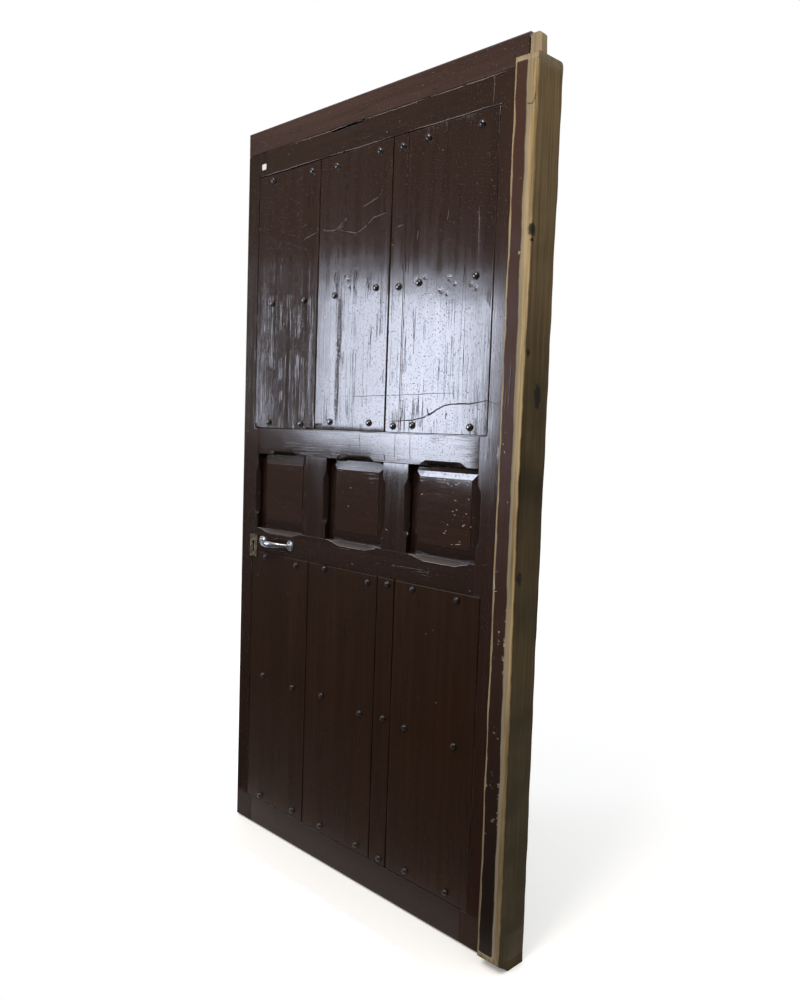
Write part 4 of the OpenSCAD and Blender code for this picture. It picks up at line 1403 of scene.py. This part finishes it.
@dataclass
class SurfaceMarks:
    """Thin marks on the front face of one CAD node.

    Lengths are in millimetres. Marks are blunt to a share of their width at their ends, and taper towards
    them. Sway and raggedness are noises, each taken from a layer of its own.
    """

    host: str
    body: Body
    paths: tuple[MarkPath, ...]
    lift: float = 0.25
    step: float = 9.0
    sway: float = 1.2
    sway_length: float = 21.0
    sway_layer: float = 9.0
    ragged: float = 0.4
    ragged_length: float = 13.0
    ragged_layer: float = 3.0
    blunt: float = 0.25
    tapers: float = 5.0

    def ribbon(self, points: tuple[Pair, ...], width: float, corner: Vector) -> bmesh.types.BMesh:
        """Extrudes a thin tapered ribbon along a path on the face.

        Args:
            points: path across and up the face.
            width: greatest width in millimetres.
            corner: the leaf's lower lock corner.

        Returns:
            The ribbon's mesh.
        """
        fine = []
        for (x0, z0), (x1, z1) in zip(points, points[1:]):
            count = max(2, int(math.hypot(x1 - x0, z1 - z0) / self.step))
            fine += [(x0 + (x1 - x0) * i / count, z0 + (z1 - z0) * i / count) for i in range(count)]
        fine.append(points[-1])
        bm = bmesh.new()
        edge = None
        for i, (x, z) in enumerate(fine):
            ahead = fine[min(i + 1, len(fine) - 1)]
            behind = fine[max(i - 1, 0)]
            heading = Vector((ahead[0] - behind[0], 0.0, ahead[1] - behind[1])).normalized()
            across = Vector((-heading.z, 0.0, heading.x))
            share = i / (len(fine) - 1)
            taper = self.blunt + (1.0 - self.blunt) * min(1.0, self.tapers * min(share, 1.0 - share))
            rough = 1.0 + self.ragged * noise.noise(Vector((x, z, self.ragged_layer)) / self.ragged_length)
            drift = self.sway * noise.noise(Vector((x, z, self.sway_layer)) / self.sway_length)
            middle = corner + (Vector((x, -self.lift, z)) + across * drift) * MM
            sides = [middle + across * (0.5 * k * width * taper * rough * MM) for k in (-1.0, 1.0)]
            if edge is None:
                ends = [bm.verts.new(side) for side in sides]
                edge = bm.edges.new(ends)
                continue
            grown = bmesh.ops.extrude_edge_only(bm, edges=[edge])["geom"]
            edge = next(g for g in grown if isinstance(g, bmesh.types.BMEdge))
            ends = [v for v in grown if isinstance(v, bmesh.types.BMVert)]
            ends.sort(key=lambda v: (v.co - sides[0]).length)
            for vert, side in zip(ends, sides):
                vert.co = side
        face_front(bm)
        return bm

    def build(self, coats: dict[MarkKind, bpy.types.Material]) -> None:
        """Builds and dresses the marks.

        Args:
            coats: material of each kind of mark.
        """
        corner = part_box("lock_stile")[0].copy()
        corner.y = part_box(self.host)[0].y
        for name, kind, points in self.paths:
            bm = self.ribbon(points, kind.value, corner)
            make_piece(bm, name, coats[kind], self.body)


@dataclass
class PaintFlecks:
    """Small pale flecks, all in one piece: chipped gloss, and beside the dents painted highlights on their
    rims.

    Places are in millimetres from the leaf's lower lock corner, and so are the flecks' length, width, lift
    and the lengths over which their turn and size change. Each noise is taken from a layer of its own.
    """

    places: tuple[Pair, ...]
    length: float = 7.0
    width: float = 2.2
    lift: float = 0.25
    sides: int = 7
    turn: float = 3.0
    turn_length: float = 17.0
    turn_layer: float = 1.0
    usual_size: float = 0.75
    size_spread: float = 0.5
    size_length: float = 11.0
    size_layer: float = 5.0

    def build(self, coat: bpy.types.Material) -> None:
        """Builds and dresses the flecks.

        Args:
            coat: material of a fleck.
        """
        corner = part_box("lock_stile")[0].copy()
        bm = bmesh.new()
        for across, up in self.places:
            turn = self.turn * noise.noise(Vector((across, up, self.turn_layer)) / self.turn_length)
            spread = noise.noise(Vector((across, up, self.size_layer)) / self.size_length)
            size = self.usual_size + self.size_spread * spread
            middle = corner + Vector((across, -self.lift, up)) * MM
            ways = Matrix.Rotation(turn, 4, "Y")
            reach = (0.5 * size * self.length * MM, 0.5 * size * self.width * MM)
            rim = bmesh.ops.create_circle(bm, cap_ends=True, segments=self.sides, radius=1.0)["verts"]
            for vert in rim:
                flat = Vector((vert.co.x * reach[0], 0.0, vert.co.y * reach[1]))
                vert.co = middle + ways @ flat
        face_front(bm)
        make_piece(bm, "chipped_flecks", coat, Body.LEAF)


@dataclass
class PaperScrap:
    """Small blank scrap of paper stuck near the top of the lock stile.

    Its place is in millimetres from the leaf's lower lock corner, and its corners are rounded by a share of
    its width. It lies a lift above the paint and curls by no more than the curl.
    """

    at: Pair = (72.0, 1896.0)
    size: Pair = (19.0, 16.0)
    cells: int = 4
    rounding: float = 0.12
    lift: float = 0.2
    curl: float = 0.3
    curl_length: float = 6.0

    def build(self) -> None:
        """Cuts and dresses the scrap."""
        corner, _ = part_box("lock_stile")
        bm = bmesh.new()
        bmesh.ops.create_grid(bm, x_segments=self.cells, y_segments=self.cells, size=0.5)
        corners = [v for v in bm.verts if len(v.link_edges) == 2]
        bmesh.ops.bevel(
            bm, geom=corners, offset=self.rounding, affect="VERTICES", segments=3, profile=0.5, material=-1
        )
        bmesh.ops.rotate(bm, verts=bm.verts, matrix=Matrix.Rotation(math.radians(90.0), 3, "X"))
        width, height = self.size
        bmesh.ops.scale(bm, vec=(width * MM, 1.0, height * MM), verts=bm.verts)
        for vert in bm.verts:
            curl = self.curl * abs(noise.noise(vert.co / (self.curl_length * MM)))
            vert.co.y = -(self.lift + curl) * MM
        across, up = self.at
        bmesh.ops.translate(bm, vec=corner + Vector((across, 0.0, up)) * MM, verts=bm.verts)
        paper = PlainCoat("white_paper_scrap", "#e4e2dc", "#d2cfc6", 0.8).material()
        make_piece(bm, "paper_scrap", paper, Body.LEAF)


@dataclass(frozen=True)
class Pane:
    """A pane of the window, or a pale wall beside it.

    It has a reach from the window's middle in metres, watts per square metre and a tint.
    """

    name: str
    across: Pair
    up: Pair
    watts_per_area: float
    tint: str = "#e4ecff"


@dataclass
class Studio:
    """Camera at the photo's angle, a window of softboxes, a fill and a pale floor.

    Places are in metres and angles in radians. The surrounding turns from dim to pale between two levels of
    a direction.
    """

    camera_at: Triple = (1.58286, -1.47085, 1.17719)
    yaw: float = 0.78007
    pitch: float = 0.08062
    roll: float = -0.03447
    focal_px: float = 855.0
    frame_px: float = 1000.0
    sensor_mm: float = 36.0
    window_at: Triple = (-6.025, -6.01, 1.859)
    window_tilt: float = 0.16
    panes: tuple[Pane, ...] = (
        Pane("bright_pane", (0.0, 1.53), (-0.995, 0.995), 64.0),
        Pane("softer_pane", (-1.53, 0.0), (-0.995, 0.995), 46.0),
        Pane("dim_upper_pane", (-1.53, 1.53), (0.995, 1.245), 18.0),
        Pane("pale_wall_above", (-3.4, 2.2), (1.245, 3.6), 0.65, "#ffd9c0"),
        Pane("pale_wall_beside", (-3.9, -1.53), (-1.3, 1.245), 1.1, "#f1e6e4"),
    )
    fill_at: Triple = (0.5, -2.4, 3.5)
    fill_target: Triple = (0.0, 0.0, 1.6)
    fill_size: Pair = (1.4, 1.4)
    fill_watts: float = 85.0
    fill_tint: str = "#fff6ea"
    pale_behind: Pair = (-0.35, 0.15)
    pale_above: Pair = (0.40, 0.75)
    dim: Colour = (0.10, 0.10, 0.105, 1.0)
    pale: Colour = (1.0, 1.0, 1.0, 1.0)
    floor_tint: str = "#fbfbfa"
    floor_roughness: float = 0.9
    floor_reach: float = 4.0
    floor_front: float = 0.12
    floor_glow: float = 0.16

    def camera(self) -> None:
        """Places the camera."""
        ahead = Vector(
            (
                -math.sin(self.yaw) * math.cos(self.pitch),
                math.cos(self.yaw) * math.cos(self.pitch),
                -math.sin(self.pitch),
            )
        )
        level = Vector((math.cos(self.yaw), math.sin(self.yaw), 0.0))
        down = ahead.cross(level)
        right = math.cos(self.roll) * level + math.sin(self.roll) * down
        up = math.sin(self.roll) * level - math.cos(self.roll) * down
        data = bpy.data.cameras.new("photo_camera")
        data.sensor_width = self.sensor_mm
        data.lens = self.sensor_mm * self.focal_px / self.frame_px
        camera = bpy.data.objects.new("photo_camera", data)
        turn = Matrix((right, up, -ahead)).transposed().to_4x4()
        camera.matrix_world = Matrix.Translation(self.camera_at) @ turn
        bpy.context.scene.collection.objects.link(camera)
        bpy.context.scene.camera = camera

    def softbox(
        self,
        name: str,
        at: Vector,
        target: Vector,
        size: Pair,
        watts: float,
        colour: str,
        tilt: float = 0.0,
    ) -> None:
        """Hangs one softbox.

        Args:
            name: name of the lamp.
            at: its middle.
            target: point it faces.
            size: width and height.
            watts: power.
            colour: colour of its light.
            tilt: turn about the depth axis, in radians.
        """
        data = bpy.data.lights.new(name, "AREA")
        data.shape = "RECTANGLE"
        data.size, data.size_y = size
        data.energy = watts
        data.color = linear(colour)[:3]
        lamp = bpy.data.objects.new(name, data)
        facing = (target - at).to_track_quat("-Z", "Y").to_matrix().to_4x4()
        lamp.matrix_world = Matrix.Translation(at) @ Matrix.Rotation(tilt, 4, "Y") @ facing
        bpy.context.scene.collection.objects.link(lamp)

    def window(self) -> None:
        """Hangs the panes of the window and the walls around it."""
        across = Vector((math.cos(self.window_tilt), 0.0, -math.sin(self.window_tilt)))
        upward = Vector((math.sin(self.window_tilt), 0.0, math.cos(self.window_tilt)))
        for pane in self.panes:
            width = pane.across[1] - pane.across[0]
            height = pane.up[1] - pane.up[0]
            middle = Vector(self.window_at) + 0.5 * sum(pane.across) * across + 0.5 * sum(pane.up) * upward
            ahead = middle + Vector((0, 1, 0))
            watts = pane.watts_per_area * width * height
            self.softbox(pane.name, middle, ahead, (width, height), watts, pane.tint, self.window_tilt)

    def world(self) -> None:
        """Sets a soft surrounding, pale behind the door and above it, and dim in front of it."""
        world = bpy.data.worlds.new("studio")
        bpy.context.scene.world = world
        world.use_nodes = True
        tree = world.node_tree
        tree.nodes.clear()
        axes = add(tree, "SeparateXYZ", add(tree, "TexCoord", out="Generated")).node.outputs
        behind = add(tree, "MapRange", axes["Y"], *self.pale_behind)
        above = add(tree, "MapRange", axes["Z"], *self.pale_above)
        lit = add(tree, "Math", behind, above, operation="MAXIMUM")
        colour = add(tree, "Mix", lit, A_Color=self.dim, B_Color=self.pale, **COLOURS)
        output = tree.nodes.new("ShaderNodeOutputWorld")
        tree.links.new(add(tree, "Background", colour, 1.0), output.inputs["Surface"])

    def floor(self) -> None:
        """Lays the pale floor."""
        bm = bmesh.new()
        bmesh.ops.create_grid(bm, x_segments=1, y_segments=1, size=self.floor_reach)
        ahead = self.floor_reach - self.floor_front
        bmesh.ops.translate(bm, vec=(0.0, ahead, 0.0), verts=bm.verts)
        mesh = bpy.data.meshes.new("floor")
        bm.to_mesh(mesh)
        bm.free()
        material, node = new_material("pale_studio_floor")
        rays = node("LightPath").node.outputs
        seen = rays["Is Camera Ray"]
        for kind in ("Is Glossy Ray", "Is Transmission Ray"):
            seen = node("Math", seen, rays[kind], operation="MAXIMUM")
        surface(
            material,
            Base_Color=linear(self.floor_tint),
            Roughness=self.floor_roughness,
            Emission_Color=self.pale,
            Emission_Strength=node("Math", seen, self.floor_glow, operation="MULTIPLY"),
        )
        mesh.materials.append(material)
        floor = bpy.data.objects.new("floor", mesh)
        bpy.context.scene.collection.objects.link(floor)

    def build(self) -> None:
        """Builds the studio."""
        bpy.context.scene.view_settings.view_transform = "Standard"
        self.camera()
        self.window()
        at, target = Vector(self.fill_at), Vector(self.fill_target)
        self.softbox("fill_softbox", at, target, self.fill_size, self.fill_watts, self.fill_tint)
        self.world()
        self.floor()


def main() -> None:
    """Builds the door and its studio around the CAD frame."""
    logging.basicConfig(level=logging.INFO, format="%(message)s")
    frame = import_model()
    nodes = frame["nodes"]
    steel = WornMetal(
        "dull_mild_steel", bright="#84817b", dull="#4f463d", metallic=1.0, roughness=0.42, relief=0.08
    ).material()
    Studio().build()
    JambPost().build(nodes)
    LeafFrame().build(nodes)
    FieldedPanels().build(nodes)
    BoardFields().build(nodes)
    StudRows().build(nodes)
    TopStrip().build(nodes)
    PullHandle().build(nodes)
    KeyholeLock().build(nodes, steel)
    HingeSet().build(nodes, steel)
    coats = {
        MarkKind.CRACK: PlainCoat("dirt_in_crack", "#120c09", "#1d1410", 0.6).material(),
        MarkKind.SCRIBE: PlainCoat("dirt_in_scribed_line", "#2a2224", "#3a3033", 0.6).material(),
        MarkKind.SCRATCH: PlainCoat("chalky_scratched_paint", "#857b78", "#4d4441", 0.7).material(),
        MarkKind.SPECK: PlainCoat("pale_paint_specks", "#c9c7c8", "#8f8a8a", 0.5).material(),
    }
    SurfaceMarks("lock_stile", Body.LEAF, LEAF_MARKS).build(coats)
    # The right panel's glints are painted highlights
    SurfaceMarks("right_panel", Body.LEAF, PANEL_MARKS).build(coats)
    SurfaceMarks("jamb_post", Body.JAMB, JAMB_MARKS).build(coats)
    # Pale flecks: chipped paint, and beside the dents painted highlights on their rims
    PaintFlecks(FLECKS).build(coats[MarkKind.SCRATCH])
    PaperScrap().build()


if __name__ == "__main__":
    main()
